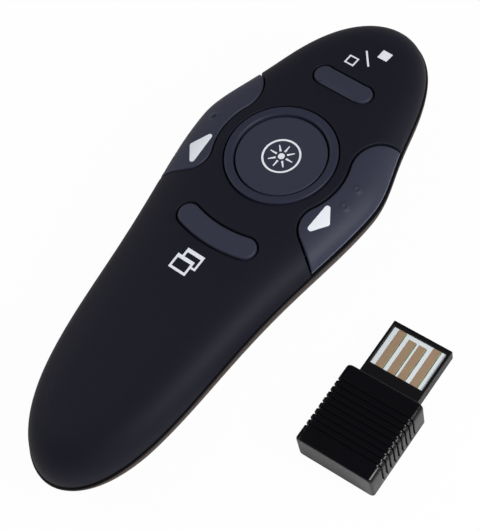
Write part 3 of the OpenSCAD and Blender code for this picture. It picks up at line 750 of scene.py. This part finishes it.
def along_parting(tree, tint, none, full, tone):
    """Colour toned, as painted shade or painted highlight, by height above the parting line, in mm: not at
    one height, and wholly at another.

    That height is z plus the parting line's fall, its factor times the square of the distance from its
    highest place, less its height there."""
    s = sizes("handset")
    place = add(tree, "SeparateXYZ", {"Vector": add(tree, "TexCoord").outputs["Object"]})
    away = add(tree, "Math", {0: place.outputs["Y"], 1: s.parting_y * MM}, operation="SUBTRACT")
    away = add(tree, "Math", {0: away, 1: 2.0}, operation="POWER")
    level = add(tree, "Math", {0: away, 1: s.parting_fall / MM, 2: place.outputs["Z"]},
                operation="MULTIPLY_ADD")
    share = add(tree, "MapRange", {"Value": level, "From Min": (s.parting_height + none) * MM,
                                   "From Max": (s.parting_height + full) * MM})
    return add(tree, "Mix", {"Factor": share, 6: tint, 7: linear(tone)}, data_type="RGBA").outputs[2]


def painted_seam_shade(tree, tint):
    """Painted shade: near black in the parting groove and just below it, where shade falls on the bottom
    casing.
    """
    shade_reach = sizes("handset").groove_height + SEAM_SHADE_DEPTH
    return along_parting(tree, tint, -shade_reach, 0.4 * SEAM_SHADE_DEPTH - shade_reach, "#08080a")


def painted_edge_highlight(tree, tint):
    """Painted highlight: brighter along the wings' lower edge, where a rounded edge would catch the light."""
    return along_parting(tree, tint, WING_LIFT + EDGE_HIGHLIGHT_WIDTH * 1.6, WING_LIFT + EDGE_HIGHLIGHT_WIDTH, "#646a80")


def copper_tracks(tree, tint):
    """Lighter where tracks lie under the mask, 0.35 mm wide on a net of 2 mm cells."""
    place = add(tree, "TexCoord").outputs["Object"]
    net = add(tree, "TexVoronoi", {"Vector": place, "Scale": 1 / (2 * MM)}, feature="DISTANCE_TO_EDGE")
    line = add(tree, "Math", {0: net.outputs["Distance"], 1: 0.09}, operation="LESS_THAN")
    green, track = linear("#1f5a38"), linear("#3a8a56")
    return add(tree, "Mix", {"Factor": line, 6: green, 7: track}, data_type="RGBA").outputs[2]


def cell_bands(tree, tint):
    """A copper band 9 mm long at each end of the sleeve, and bare steel on the last 0.7 mm."""
    low, high = span("dry_cell")
    middle, half = (low[1] + high[1]) / 2 * MM, (high[1] - low[1]) / 2 * MM
    along = add(tree, "SeparateXYZ", {"Vector": add(tree, "TexCoord").outputs["Object"]}).outputs["Y"]
    away = add(tree, "Math", {0: along, 1: middle}, operation="SUBTRACT")
    away = add(tree, "Math", {0: away}, operation="ABSOLUTE")
    steel = add(tree, "Math", {0: away, 1: half - 0.7 * MM}, operation="GREATER_THAN")
    band = add(tree, "Math", {0: away, 1: half - 9 * MM}, operation="GREATER_THAN")
    ink, copper, bare = linear("#3c5a76"), linear("#b07a45"), linear("#c4c5c8")
    sleeve = add(tree, "Mix", {"Factor": band, 6: ink, 7: copper}, data_type="RGBA").outputs[2]
    tree.links.new(steel.outputs[0], tree.nodes["Principled BSDF"].inputs["Metallic"])
    return add(tree, "Mix", {"Factor": steel, 6: sleeve, 7: bare}, data_type="RGBA").outputs[2]


PATTERNS = {"lower_casing": painted_seam_shade, "key_plastic": painted_edge_highlight, "green_board": copper_tracks,
            "cell_wrap": cell_bands}


def finish(slot):
    """Material of a slot, made at its first use.

    Noise of its real grain moves height, roughness and colour, and a broader one the colour too."""
    look = FINISHES[slot]
    if look.name in bpy.data.materials:
        return bpy.data.materials[look.name]
    made = bpy.data.materials.new(look.name)
    made.use_nodes = True
    tree = made.node_tree
    shader = tree.nodes["Principled BSDF"]
    for socket, value in look.sockets.items():
        shader.inputs[socket].default_value = value
    tints = bpy.context.scene.clicker_colours
    rgba = linear(look.colour) if "#" in look.colour else getattr(tints, look.colour)
    place = add(tree, "TexCoord").outputs["Object"]
    place = add(tree, "Mapping", {"Vector": place, "Scale": look.stretch})
    fine = add(tree, "TexNoise", {"Vector": place, "Scale": 1 / (look.grain * MM), "Detail": 3.0})
    wide = BROADER * look.grain * MM
    broad = add(tree, "TexNoise", {"Vector": place, "Scale": 1 / wide, "Detail": 2.0})
    both = add(tree, "Math", {0: fine, 1: broad, 2: 0.25}, operation="MULTIPLY_ADD")
    dark, light = shaded(rgba, 1 - look.mottle), shaded(rgba, 1 + look.mottle)
    tint = add(tree, "Mix", {"Factor": both, 6: dark, 7: light}, data_type="RGBA").outputs[2]
    rough = add(tree, "MapRange", {"Value": fine, "From Min": 0.3, "From Max": 0.7,
                                   "To Min": look.roughness - look.spread,
                                   "To Max": look.roughness + look.spread})
    bump = add(tree, "Bump", {"Height": fine, "Distance": look.depth * MM, "Strength": 1.0})
    if slot in PATTERNS:
        tint = PATTERNS[slot](tree, tint)
    tree.links.new(tint, shader.inputs["Base Color"])
    tree.links.new(rough.outputs[0], shader.inputs["Roughness"])
    tree.links.new(bump.outputs[0], shader.inputs["Normal"])
    return made


# ---------------------------------------------------------------- the handset's plan


def edge_share(lift, y, s):
    """Share at which the top casing's section stands a lift above the parting line."""
    return (1 - (lift / (crown_z(y, s) - parting_z(y, s))) ** 2) ** (1 / s.dome_power)


def wing_side(y, lift, s):
    """How far out a wing reaches at y: where the casing is a lift above its parting line."""
    return half_width(y, s) * edge_share(lift, y, s)


def wing_edge(grow, lift, s, k):
    """Right wing's plan edge from its side at the front to its side at the rear, grown by a distance.

    A straight slope, an arc about the front corner, the arc that faces the ring, an arc about the rear
    corner and a slope. The slopes stop where they meet wing_side()."""
    ring = np.array([0, s.ring_y])
    nose, tail = (arc(ring, k.wing_arc + fillet, angle, angle, 1)[0]
                  for fillet, angle in ((k.nose_fillet, NOSE_ANGLE), (k.tail_fillet, -TAIL_ANGLE)))
    front = arc(nose, k.nose_fillet + grow, NOSE_FILLET_END, 180 + NOSE_ANGLE, 34)
    middle = arc(ring, k.wing_arc - grow, NOSE_ANGLE, -TAIL_ANGLE, 44)
    back = arc(tail, k.tail_fillet + grow, 180 - TAIL_ANGLE, TAIL_FILLET_END, 34)
    slopes = []
    for start, slope in ((front[0], NOSE_FILLET_END - 90), (back[-1], TAIL_FILLET_END - 270)):
        way = start + np.linspace(0, 12, 2400)[:, None] * (1, math.tan(math.radians(slope)))
        stop = np.argmax(way[:, 0] >= wing_side(way[:, 1], lift, s))
        slopes.append(start + np.linspace(0, 1, 14)[1:, None] * (way[stop] - start))
    return np.concatenate([slopes[0][::-1], front, middle[1:], back[1:], slopes[1]])


def pill_edge(radius, k):
    """Stadium round the nose key's middle."""
    return np.concatenate([arc((side * k.pill_half, k.pill_y), radius, -90 * side, -90 * side + 180, 30)
                           for side in (1, -1)])


def crescent_edge(radius, k):
    """A stretch of a wide arc about a point ahead of it, with round ends."""
    centre, wide = (0, CRESCENT_Y + k.crescent_arc), k.crescent_arc
    low, high = -90 - CRESCENT_ANGLE, -90 + CRESCENT_ANGLE
    left, right = arc(centre, wide, low, high, 2)
    return np.concatenate([
        arc(centre, wide + radius, low, high, 50)[:-1], arc(right, radius, high, high + 180, 24)[:-1],
        arc(centre, wide - radius, high, low, 50)[:-1], arc(left, radius, low + 180, low + 360, 24)[:-1]])


def dome_points(angles, s):
    """Plan points on rings between the outline and the spine, with fewer of them near the spine."""
    whole = outline(OUTLINE_COUNT, s)
    rings = [to_spine(whole, math.cos(math.radians(a)) ** (2 / s.dome_power), s) for a in angles]
    rings += [to_spine(whole[::2], share, s) for share in (0.56, 0.48, 0.4)]
    rings += [to_spine(whole[::4], share, s) for share in (0.32, 0.24, 0.16, 0.08)]
    return np.concatenate(rings)


def mirrored(line):
    """A plan line on the other side of the centre."""
    return line[::-1] * (-1, 1)


def filled(loop, step=0.35):
    """Square grid of points in a loop's box, a little off round numbers, so none falls on a loop."""
    low, high = loop.min(0), loop.max(0)
    x, y = np.meshgrid(np.arange(low[0], high[0], step), np.arange(low[1], high[1], step))
    return np.stack([x.ravel(), y.ravel()], 1) + 0.017


# ---------------------------------------------------------------- operators


class CLICKER_OT_top_casing(bpy.types.Operator):
    """Top casing: the dome with rounded windows for the keys, and three screw posts"""

    bl_idname = "clicker.top_casing"
    bl_label = "Top casing"

    def execute(self, context):
        s, k = sizes("handset"), sizes("keys")
        window = wing_edge(k.gap / 2, 0, s, k)
        whole = outline(OUTLINE_COUNT, s)[:OUTLINE_COUNT // 2 + 1]
        front, back = window[0, 1] + WINDOW_CLEAR, window[-1, 1] - WINDOW_CLEAR
        right = np.concatenate([whole[whole[:, 1] > front], window, whole[whole[:, 1] < back]])
        ring = circle((0, s.ring_y), k.window_radius, 128)
        pill = pill_edge(k.pill_radius + k.gap / 2, k)
        crescent = crescent_edge(k.crescent_radius + k.gap / 2, k)
        loops = [np.concatenate([right, mirrored(right)[1:-1]]), ring, pill, crescent]
        rounded = [window, mirrored(window), closed(ring), closed(pill), closed(crescent)]
        parts = [lid(loops, dome_points(DOME_STEPS, s), lambda p: dome_z(p, s),
                     lambda p: np.maximum(dome_z(p, s) - s.wall, parting_z(p[:, 1], s)), rounded,
                     k.window_edge)]
        for x, y, seat, joint, top in SCREWS:
            end = min(seat + PILOT_DEPTH, top - POST_CAP)
            post = [(POST_R, joint), (POST_R, top), (0, top), (0, end), (PILOT_R, end), (PILOT_R, joint)]
            parts.append(lathe(post, (x, y), 32))
        stands_for(solid_from("top_casing", parts), "upper_shell")
        return {"FINISHED"}


class CLICKER_OT_wing_keys(bpy.types.Operator):
    """Wing keys: two pieces of the dome with tactile dots, a stem and lugs each"""

    bl_idname = "clicker.wing_keys"
    bl_label = "Wing keys"

    def execute(self, context):
        s, k = sizes("handset"), sizes("keys")
        stem_x, stem_y, stem_top = WING_STEM
        edge = wing_edge(-k.gap / 2, WING_LIFT, s, k)
        turn = np.arccos(np.array([edge[0, 1], edge[-1, 1]]) / s.half_length)
        y = s.half_length * np.cos(np.linspace(turn[1], turn[0], 70)[1:-1])
        rim = np.stack([wing_side(y, WING_LIFT, s), y], 1)
        for side, name, dots in ((1, "forward", FORWARD_DOTS), (-1, "back", BACK_DOTS)):
            flip = (side, 1)
            loop = np.concatenate([edge, rim]) * flip
            rings = [circle(dot[:2], r, 20) for dot in dots for r in DOT_RINGS]

            def top(p, dots=dots):
                """The dome, and a dimpled bump h (exp(-(r/R)^4) - d exp(-(2.2 r/R)^4)) for each dot."""
                high = dome_z(p, s)
                for x, y, radius, height, dimple in dots:
                    away = np.hypot(p[:, 0] - x, p[:, 1] - y)
                    bump = np.exp(-((away / radius) ** 4)) - dimple * np.exp(-((away / radius * 2.2) ** 4))
                    high = high + height * bump
                return high

            parts = [lid([loop], np.concatenate([dome_points(WING_STEPS, s), *rings]), top,
                         lambda p: np.maximum(dome_z(p, s) - s.wall, parting_z(p[:, 1], s) + WING_LIFT),
                         [edge * flip], k.edge),
                     prism(circle((side * stem_x, stem_y), STEM_R, 32), PLUNGER_TOP, stem_top)]
            for low, high in LUGS:
                x = sorted((side * low[0], side * high[0]))
                parts.append(block((x[0], low[1], low[2]), (x[1], high[1], high[2])))
            stands_for(solid_from(name + "_wing_key", parts), name + "_key")
        return {"FINISHED"}


class CLICKER_OT_small_keys(bpy.types.Operator):
    """Small keys: the nose key and the curved key, each on a flange under the casing and a stem"""

    bl_idname = "clicker.small_keys"
    bl_label = "Small keys"

    def execute(self, context):
        s, k = sizes("handset"), sizes("keys")
        for name, y, shape, radius in (
                ("blank", k.pill_y, lambda r: pill_edge(r, k), k.pill_radius),
                ("fullscreen", CRESCENT_Y, lambda r: crescent_edge(r, k), k.crescent_radius)):
            loop = shape(radius - k.gap / 2)
            parts = [lid([loop], filled(loop, 0.4), lambda p: dome_z(p, s) + SMALL_LIFT,
                         lambda p: FLANGE[0], [closed(loop)], k.edge),
                     prism(shape(radius + BRIM), *FLANGE),
                     prism(circle((0, y), STEM_R, 32), PLUNGER_TOP, FLANGE[1])]
            stands_for(solid_from(name + "_small_key", parts), name + "_key")
        return {"FINISHED"}


class CLICKER_OT_laser_key(bpy.types.Operator):
    """Round laser key: a shallow dish turned about its axis, with a flange and a stem"""

    bl_idname = "clicker.laser_key"
    bl_label = "Laser key"

    def execute(self, context):
        s, k = sizes("handset"), sizes("keys")
        radius, edge = k.disc_radius, DISC_EDGE
        brim, low, high = DISC_FLANGE
        dish = np.linspace(0, radius - edge - 0.1, 20)
        face = np.c_[dish, disc_z(dish)]
        turn = np.radians(np.linspace(0, 90, 7))
        corner = np.c_[radius - edge + edge * np.sin(turn), DISC_TOP - edge + edge * np.cos(turn)]
        below = [(radius, high), (brim, high), (brim, low), (DISC_STEM_R, low), (DISC_STEM_R, PLUNGER_TOP),
                 (0, PLUNGER_TOP)]
        disc = lathe(np.concatenate([face, corner, below]), (0, s.ring_y))
        stands_for(solid_from("laser_disc_key", [disc]), "laser_key")
        return {"FINISHED"}


class CLICKER_OT_thumb_ring(bpy.types.Operator):
    """Thumb ring: a rounded rim on a flange, turned about its axis"""

    bl_idname = "clicker.thumb_ring"
    bl_label = "Thumb ring"

    def execute(self, context):
        s, k = sizes("handset"), sizes("keys")
        inner, outer, top = k.ring_bore, k.ring_radius, RING_HIGH[2]
        brim, low, high = RING_FLANGE
        turn = np.radians(np.linspace(0, 90, 6))
        bore_edge = (inner, top) + RING_INNER_ROUND * np.c_[1 - np.cos(turn), np.sin(turn) - 1]
        rim = (outer, top) + RING_OUTER_ROUND * np.c_[np.sin(turn) - 1, np.cos(turn) - 1]
        below = [(outer, high), (brim, high), (brim, low), (outer, low), (outer, RING_FOOT),
                 (inner, RING_FOOT)]
        ring = lathe(np.concatenate([bore_edge, rim, below]), (0, s.ring_y))
        stands_for(solid_from("thumb_rim", [ring]), "thumb_ring")
        return {"FINISHED"}


def bowl_loops(count, steps, by, lift, s):
    """Loops from the bottom up: a superellipse down from the parting groove, the outline moved in."""
    whole = inset(outline(count, s), by)
    loops = []
    for a in np.radians(np.linspace(BOWL_END, BOWL_START, steps)):
        plan = to_spine(whole, math.cos(a) ** (2 / s.bowl_power), s)
        high = parting_z(plan[:, 1], s) - s.groove_height
        loops.append(np.c_[plan, high - (high + s.sole_cut - lift) * math.sin(a) ** (2 / s.bowl_power)])
    return loops


def rim_loop(count, by, rise, s):
    """The outline moved in by a distance, at a height above the parting line."""
    plan = inset(outline(count, s), by)
    return np.c_[plan, parting_z(plan[:, 1], s) + rise]


def lower_outer(s):
    """Outside of the bottom casing: the bowl, its rounded rim and the tongue inside the parting groove."""
    loops = bowl_loops(LOWER_COUNT, 26, -s.rim_proud, 0, s)
    for a in np.radians(RIM_STEPS):
        by = RIM_ROUND * (1 - math.cos(a)) - s.rim_proud
        loops.append(rim_loop(LOWER_COUNT, by, RIM_ROUND * (math.sin(a) - 1) - s.groove_height, s))
    loops += [rim_loop(LOWER_COUNT, s.groove_depth, rise, s) for rise in (-s.groove_height, -TONGUE_DROP)]
    return cut(solid_from("outside", [loft(np.stack(loops))]), block((-FAR, -FAR, -9), (FAR, FAR, 0)))


def lower_cavity(s):
    """Inside of the bottom casing above its sole."""
    loops = [*bowl_loops(LOWER_COUNT // 2, 14, s.wall, s.sole, s), rim_loop(LOWER_COUNT // 2, s.wall, 1, s)]
    return cut(solid_from("cavity", [loft(np.stack(loops))]), block((-FAR, -FAR, -9), (FAR, FAR, s.sole)))


def door_bar(grow, front):
    """Dovetail bar of the door's channel, open at the tail, grown by a distance."""
    half, flare = DOOR_HALF + grow, DOOR_FLARE
    return bar([(-half + flare, -1), (half - flare, -1), (half + flare * CHANNEL_H, CHANNEL_H),
                (-half - flare * CHANNEL_H, CHANNEL_H)], -FAR, front)


class CLICKER_OT_bottom_casing(bpy.types.Operator):
    """Bottom casing: the bowl with its battery bay, laser seat, screw bosses and door channel"""

    bl_idname = "clicker.bottom_casing"
    bl_label = "Bottom casing"

    def execute(self, context):
        s = sizes("handset")
        inner = cut(lower_cavity(s), *[block(*ends) for ends in INNER_BLOCKS],
                    *[prism(circle((x, y), BOSS_R, 32), -1, joint) for x, y, _, joint, _ in SCREWS])
        cuts = [block(*ends) for ends in OUTER_HOLES] + [door_bar(0, DOOR_FRONT)]
        for x, y, seat, joint, _ in SCREWS:
            cuts += [prism(circle((x, y), HEAD_R, 40), -1, seat),
                     prism(circle((x, y), SHANK_R, 32), -1, joint + 1)]
        shell = cut(carved(lower_outer(s), [inner]), *cuts, *[bore(room) for room in LASER_BORES])
        stands_for(finished("bottom_casing", shell, 30), "lower_shell")
        return {"FINISHED"}


class CLICKER_OT_door(bpy.types.Operator):
    """Battery door: the tail's underside, cut to the dovetail channel that is open at the tail, with grip
    grooves
    """

    bl_idname = "clicker.door"
    bl_label = "Battery door"

    def execute(self, context):
        s = sizes("handset")
        section = solid_from("section", [door_bar(-FIT, DOOR_FRONT - FIT)])
        door = carved(lower_outer(s), [section], "INTERSECT")
        cuts = [block((-FAR, -FAR, DOOR_TOP), (FAR, FAR, FAR)), bore(CELL_ROOM, 64)]
        cuts += [bar(GRIP_SECTION, y, y + GRIP_WIDTH) for y in GRIP_GROOVES]
        door = cut(carved(door, [lower_cavity(s)]), *cuts)
        stands_for(finished("sliding_door", door, 30), "battery_door")
        return {"FINISHED"}


def disc_z(radius):
    """Height of the laser key's dish at a distance from its axis: part of a sphere."""
    bottom = DISC_TOP - DISH_DEPTH
    return np.minimum(bottom + DISH_RADIUS - np.sqrt(DISH_RADIUS ** 2 - radius ** 2), DISC_TOP)


def turned(points, angle):
    """Plan points turned about the origin by an angle in degrees."""
    c, n = math.cos(math.radians(angle)), math.sin(math.radians(angle))
    return np.asarray(points) @ np.array([(c, n), (-n, c)])


def rectangle(centre, width, height, angle=0.0):
    """Plan rectangle turned about its centre by an angle in degrees."""
    return centre + turned(CORNERS * (width / 2, height / 2), angle)


def soft_triangle(corners, radius, count=8):
    """Triangle with arcs of a radius at its corners, counter-clockwise."""
    corners = np.asarray(corners, float)
    before, after = np.roll(corners, 1, 0) - corners, np.roll(corners, -1, 0) - corners
    before /= np.linalg.norm(before, axis=1, keepdims=True)
    after /= np.linalg.norm(after, axis=1, keepdims=True)
    middle = before + after
    middle /= np.linalg.norm(middle, axis=1, keepdims=True)
    half = np.arccos((middle * before).sum(1))
    centres = corners + middle * (radius / np.sin(half))[:, None]
    facing = np.degrees(np.arctan2(-middle[:, 1], -middle[:, 0]))
    spread = 90 - np.degrees(half)
    return np.concatenate([arc(centre, radius, middle - half, middle + half, count)
                           for centre, middle, half in zip(centres, facing, spread)])


class CLICKER_OT_prints(bpy.types.Operator):
    """Prints: thin inked shapes that follow the surface under them"""

    bl_idname = "clicker.prints"
    bl_label = "Prints"

    def execute(self, context):
        s, k = sizes("handset"), sizes("keys")

        def dome(p):
            return dome_z(p, s)

        def disc(p):
            return disc_z(np.hypot(p[:, 0], p[:, 1] - s.ring_y))

        def inked(under, *loops):
            return lid(loops, filled(loops[0]), lambda p: under(p) + k.print_height,
                       lambda p: under(p) - PRINT_ROOT)

        for name, corners in (("back", BACK_TRIANGLE), ("forward", FORWARD_TRIANGLE)):
            loop = soft_triangle(corners, TRIANGLE_ROUND)
            dressed(solid_from(name + "_arrow_print", [inked(dome, loop)]), name + "_button", "ink")
        windows = inked(dome, *[np.array(loop) for loop in WINDOWS])
        dressed(solid_from("window_print", [windows]), "handset", "ink")
        blank = [inked(dome, rectangle(HOLLOW_SQUARE, SQUARE, SQUARE),
                       rectangle(HOLLOW_SQUARE, SQUARE_HOLE, SQUARE_HOLE)),
                 inked(dome, rectangle(SOLID_SQUARE, SQUARE, SQUARE)), inked(dome, rectangle(*SLASH))]
        dressed(solid_from("blank_screen_print", blank), "handset", "ink")
        centre = np.array([0, s.ring_y])
        mark = [inked(disc, circle(centre, MARK_RADIUS, 96), circle(centre, MARK_RADIUS - MARK_LINE, 96)),
                inked(disc, circle(centre, MARK_HUB, 32))]
        mark += [inked(disc, centre + turned(MARK_RAY, i * 360 / MARK_RAYS)) for i in range(MARK_RAYS)]
        dressed(solid_from("light_mark_print", mark), "laser_button", "ink")
        return {"FINISHED"}


# ---------------------------------------------------------------- receiver


def beside_handset(obj, r):
    """Moves a mesh from the receiver's own frame to its place beside the handset."""
    obj.data.transform(Matrix.Translation(Vector(RECEIVER_PLACE) * MM) @ Matrix.Rotation(r.turn, 4, "Z"))
    return obj


def quarter(radius, depth):
    """How far a quarter round of a radius pulls a side in, by the depth below its start."""
    return radius - np.sqrt(radius ** 2 - np.clip(depth, 0, radius) ** 2)


def receiver_outside(r):
    """Receiver's body: an (x, z) section with two rounded top edges, carried along Y.

    Towards both ends it shrinks by quarter rounds, and in each groove by the groove's depth above a
    plain foot."""
    half, front, long, foot = r.width / 2, r.body_length / 2, LONG_ROUND, FOOT_ROUND
    turn = np.radians(np.linspace(0, 90, 9))
    ahead = END_ROUND * (1 - np.cos(turn))
    first = front - r.rib_start - r.rib_pitch * np.arange(r.ribs)
    y = np.concatenate([front - ahead, (first[:, None] + GROOVE_ACROSS).ravel(), (ahead - front)[::-1]])
    groove = r.rib_depth * np.concatenate([0 * ahead, np.tile(GROOVE_DEEP, int(r.ribs)), 0 * ahead])
    to_end = front - np.abs(y)
    pull_x, pull_z = quarter(END_ROUND, END_ROUND - to_end), quarter(TOP_ROUND, TOP_ROUND - to_end)
    x_in = np.concatenate([[0, 0.4 * half], half - long + long * np.sin(turn), [half] * len(SIDE_ROWS),
                           half - foot + foot * np.cos(turn), [0.4 * half, 0]])
    z_in = np.concatenate([[r.height] * 2, r.height - long + long * np.cos(turn), SIDE_ROWS,
                           foot - foot * np.sin(turn), [0, 0]])
    wide = np.clip(x_in / half, 0, 1)
    above = np.clip((z_in - r.height / 2) / (r.height / 2 - long), 0, 1)
    x = x_in - wide * pull_x[:, None] - wide * (z_in > GROOVED_OVER) * groove[:, None]
    z = z_in - above * (pull_z + groove)[:, None] + (1 - z_in / r.height) * (z_in < foot) * pull_z[:, None]
    x, z = np.c_[x, -x[:, -2:0:-1]], np.c_[z, z[:, -2:0:-1]]
    points, faces = loft(np.stack([x, z, np.repeat(-y[:, None], x.shape[1], 1)], 2))
    return laid(points), faces


class CLICKER_OT_receiver_body(bpy.types.Operator):
    """Receiver's body: the grooved case in two halves, hollow round its board"""

    bl_idname = "clicker.receiver_body"
    bl_label = "Receiver body"

    def execute(self, context):
        r = sizes("receiver")
        holes = [block(*ends) for ends in RECEIVER_HOLES]
        for node, name, low, high in (("receiver_cover", "receiver_top", -9, SPLIT_Z),
                                      ("receiver_housing", "receiver_bottom", SPLIT_Z, 20)):
            away = block((-FAR, -FAR, low), (FAR, FAR, high))
            half = finished(name, cut(solid_from(name, [receiver_outside(r)]), *holes, away), 40)
            stands_for(beside_handset(half, r), node)
        return {"FINISHED"}


class CLICKER_OT_plug(bpy.types.Operator):
    """Plug: tray, board and pads with softened edges, test points and the bare line beside each pad"""

    bl_idname = "clicker.plug"
    bl_label = "Plug"

    def execute(self, context):
        r = sizes("receiver")
        for node, width in PLUG_EDGES.items():
            stands_for(softened(node, width), node)
        for name, slot, parts in (
                ("plug_test_points", "chip_epoxy",
                 [prism(circle(place, TEST_POINT_R, 16), BOARD_TOP, PRINT_TOP) for place in TEST_POINTS]),
                ("plug_pad_lines", "green_board",
                 [block((x, PAD_LINE_BACK, BOARD_TOP), (x + PAD_LINE_WIDTH, front, PRINT_TOP))
                  for x, front in PAD_LINES])):
            dressed(beside_handset(solid_from(name, parts), r), "receiver", slot)
        return {"FINISHED"}


class CLICKER_OT_inner_parts(bpy.types.Operator):
    """Inner parts: gives every packed node that nothing stands for the finish of its slot"""

    bl_idname = "clicker.inner_parts"
    bl_label = "Inner parts"

    def execute(self, context):
        for node, obj in frame["nodes"].items():
            if not obj.hide_render:
                obj.data.materials.clear()
                obj.data.materials.append(finish(SLOT_OF[node]))
        return {"FINISHED"}


def empty_tree(owner):
    """A material's or world's node tree with nothing in it."""
    owner.use_nodes = True
    owner.node_tree.nodes.clear()
    return owner.node_tree


class CLICKER_OT_stage(bpy.types.Operator):
    """Stage: pale floor, soft lamps and the camera"""

    bl_idname = "clicker.stage"
    bl_label = "Stage"

    def execute(self, context):
        setup, scene, white = context.scene.clicker_studio, context.scene, linear("#ffffff")
        mesh = bpy.data.meshes.new("studio_floor")
        corners = np.c_[CORNERS * FLOOR_HALF, [-FLOOR_DROP] * 4] * MM
        mesh.from_pydata(corners.tolist(), [], [[0, 1, 2, 3]])
        paper = bpy.data.materials.new("white_paper")
        mesh.materials.append(paper)
        placed("studio_floor", mesh)
        tree = empty_tree(paper)
        matte = add(tree, "BsdfDiffuse", {"Color": linear("#f4f4f4")})
        lit = add(tree, "Emission", {"Color": white, "Strength": 1.0})
        seen = add(tree, "LightPath").outputs["Is Camera Ray"]
        share = add(tree, "Math", {0: seen, 1: setup.whiteness}, operation="MULTIPLY")
        both = add(tree, "MixShader", {0: share, 1: matte, 2: lit})
        # Clear from below, so that the underside can be looked at
        behind = add(tree, "NewGeometry").outputs["Backfacing"]
        both = add(tree, "MixShader", {0: behind, 1: both, 2: add(tree, "BsdfTransparent")})
        add(tree, "OutputMaterial", {"Surface": both})

        # Reflections see a dim ceiling over a bright horizon, as under a studio's open top
        scene.world = bpy.data.worlds.new("studio")
        tree = empty_tree(scene.world)
        path = add(tree, "LightPath")
        way = add(tree, "SeparateXYZ", {"Vector": add(tree, "TexCoord").outputs["Generated"]})
        sky = add(tree, "MapRange", {"Value": way.outputs["Z"], "From Min": 0.1, "From Max": 0.5,
                                     "To Min": setup.horizon, "To Max": setup.ceiling})
        level = add(tree, "MapRange", {"Value": path.outputs["Is Glossy Ray"], "To Min": setup.ambient,
                                       "To Max": sky})
        seen = add(tree, "Math", {0: path.outputs["Is Camera Ray"], 1: path.outputs["Is Transmission Ray"]},
                   operation="MAXIMUM")
        level = add(tree, "Math", {0: level, 1: seen}, operation="MAXIMUM")
        add(tree, "OutputWorld", {"Surface": add(tree, "Background", {"Color": white, "Strength": level})})

        for name, (place, size) in LAMPS.items():
            data = bpy.data.lights.new(name, "AREA")
            data.size, data.energy = size * MM, getattr(setup, name)
            lamp = placed(name, data)
            lamp.location = Vector(place) * MM
            lamp.rotation_euler = (Vector(LAMP_AIM) - Vector(place)).to_track_quat("-Z", "Y").to_euler()

        data = bpy.data.cameras.new("camera")
        data.sensor_fit, data.sensor_width, data.lens = "HORIZONTAL", 36, setup.lens
        data.clip_start, data.clip_end = 0.02, 10
        scene.camera = placed("camera", data)
        look = Vector(CAMERA_LOOK).normalized()
        right = look.cross(Vector(CAMERA_UP)).normalized()
        facing = Matrix((right, right.cross(look), -look)).transposed()
        scene.camera.matrix_world = Matrix.Translation(Vector(CAMERA_PLACE) * MM) @ facing.to_4x4()
        scene.view_settings.view_transform = "Standard"
        return {"FINISHED"}


GROUPS = {"clicker_handset": HandsetShape, "clicker_keys": KeySizes, "clicker_receiver": ReceiverSizes,
          "clicker_colours": FinishColours, "clicker_studio": StudioSetup}
OPERATORS = (CLICKER_OT_top_casing, CLICKER_OT_wing_keys, CLICKER_OT_small_keys, CLICKER_OT_laser_key,
             CLICKER_OT_thumb_ring, CLICKER_OT_bottom_casing, CLICKER_OT_door, CLICKER_OT_prints,
             CLICKER_OT_receiver_body, CLICKER_OT_plug, CLICKER_OT_inner_parts, CLICKER_OT_stage)


class CLICKER_PT_pieces(bpy.types.Panel):
    """Sizes, colours and one button for each group of pieces"""

    bl_label = "Clicker"
    bl_idname = "CLICKER_PT_pieces"
    bl_space_type = "VIEW_3D"
    bl_region_type = "UI"
    bl_category = "Clicker"

    def draw(self, context):
        for name, group in GROUPS.items():
            area = self.layout.box()
            area.label(text=group.__doc__.rstrip("."))
            for prop in group.__annotations__:
                area.prop(getattr(context.scene, name), prop)
        for operator in OPERATORS:
            self.layout.operator(operator.bl_idname)


def register():
    for part in (*GROUPS.values(), *OPERATORS, CLICKER_PT_pieces):
        bpy.utils.register_class(part)
    for name, group in GROUPS.items():
        setattr(bpy.types.Scene, name, PointerProperty(type=group))


def unregister():
    for name in GROUPS:
        delattr(bpy.types.Scene, name)
    for part in (CLICKER_PT_pieces, *OPERATORS, *GROUPS.values()):
        bpy.utils.unregister_class(part)


def main():
    """Makes every piece in order."""
    register()
    for operator in OPERATORS:
        getattr(bpy.ops.clicker, operator.bl_idname.split(".")[1])()


if __name__ == "__main__":
    main()
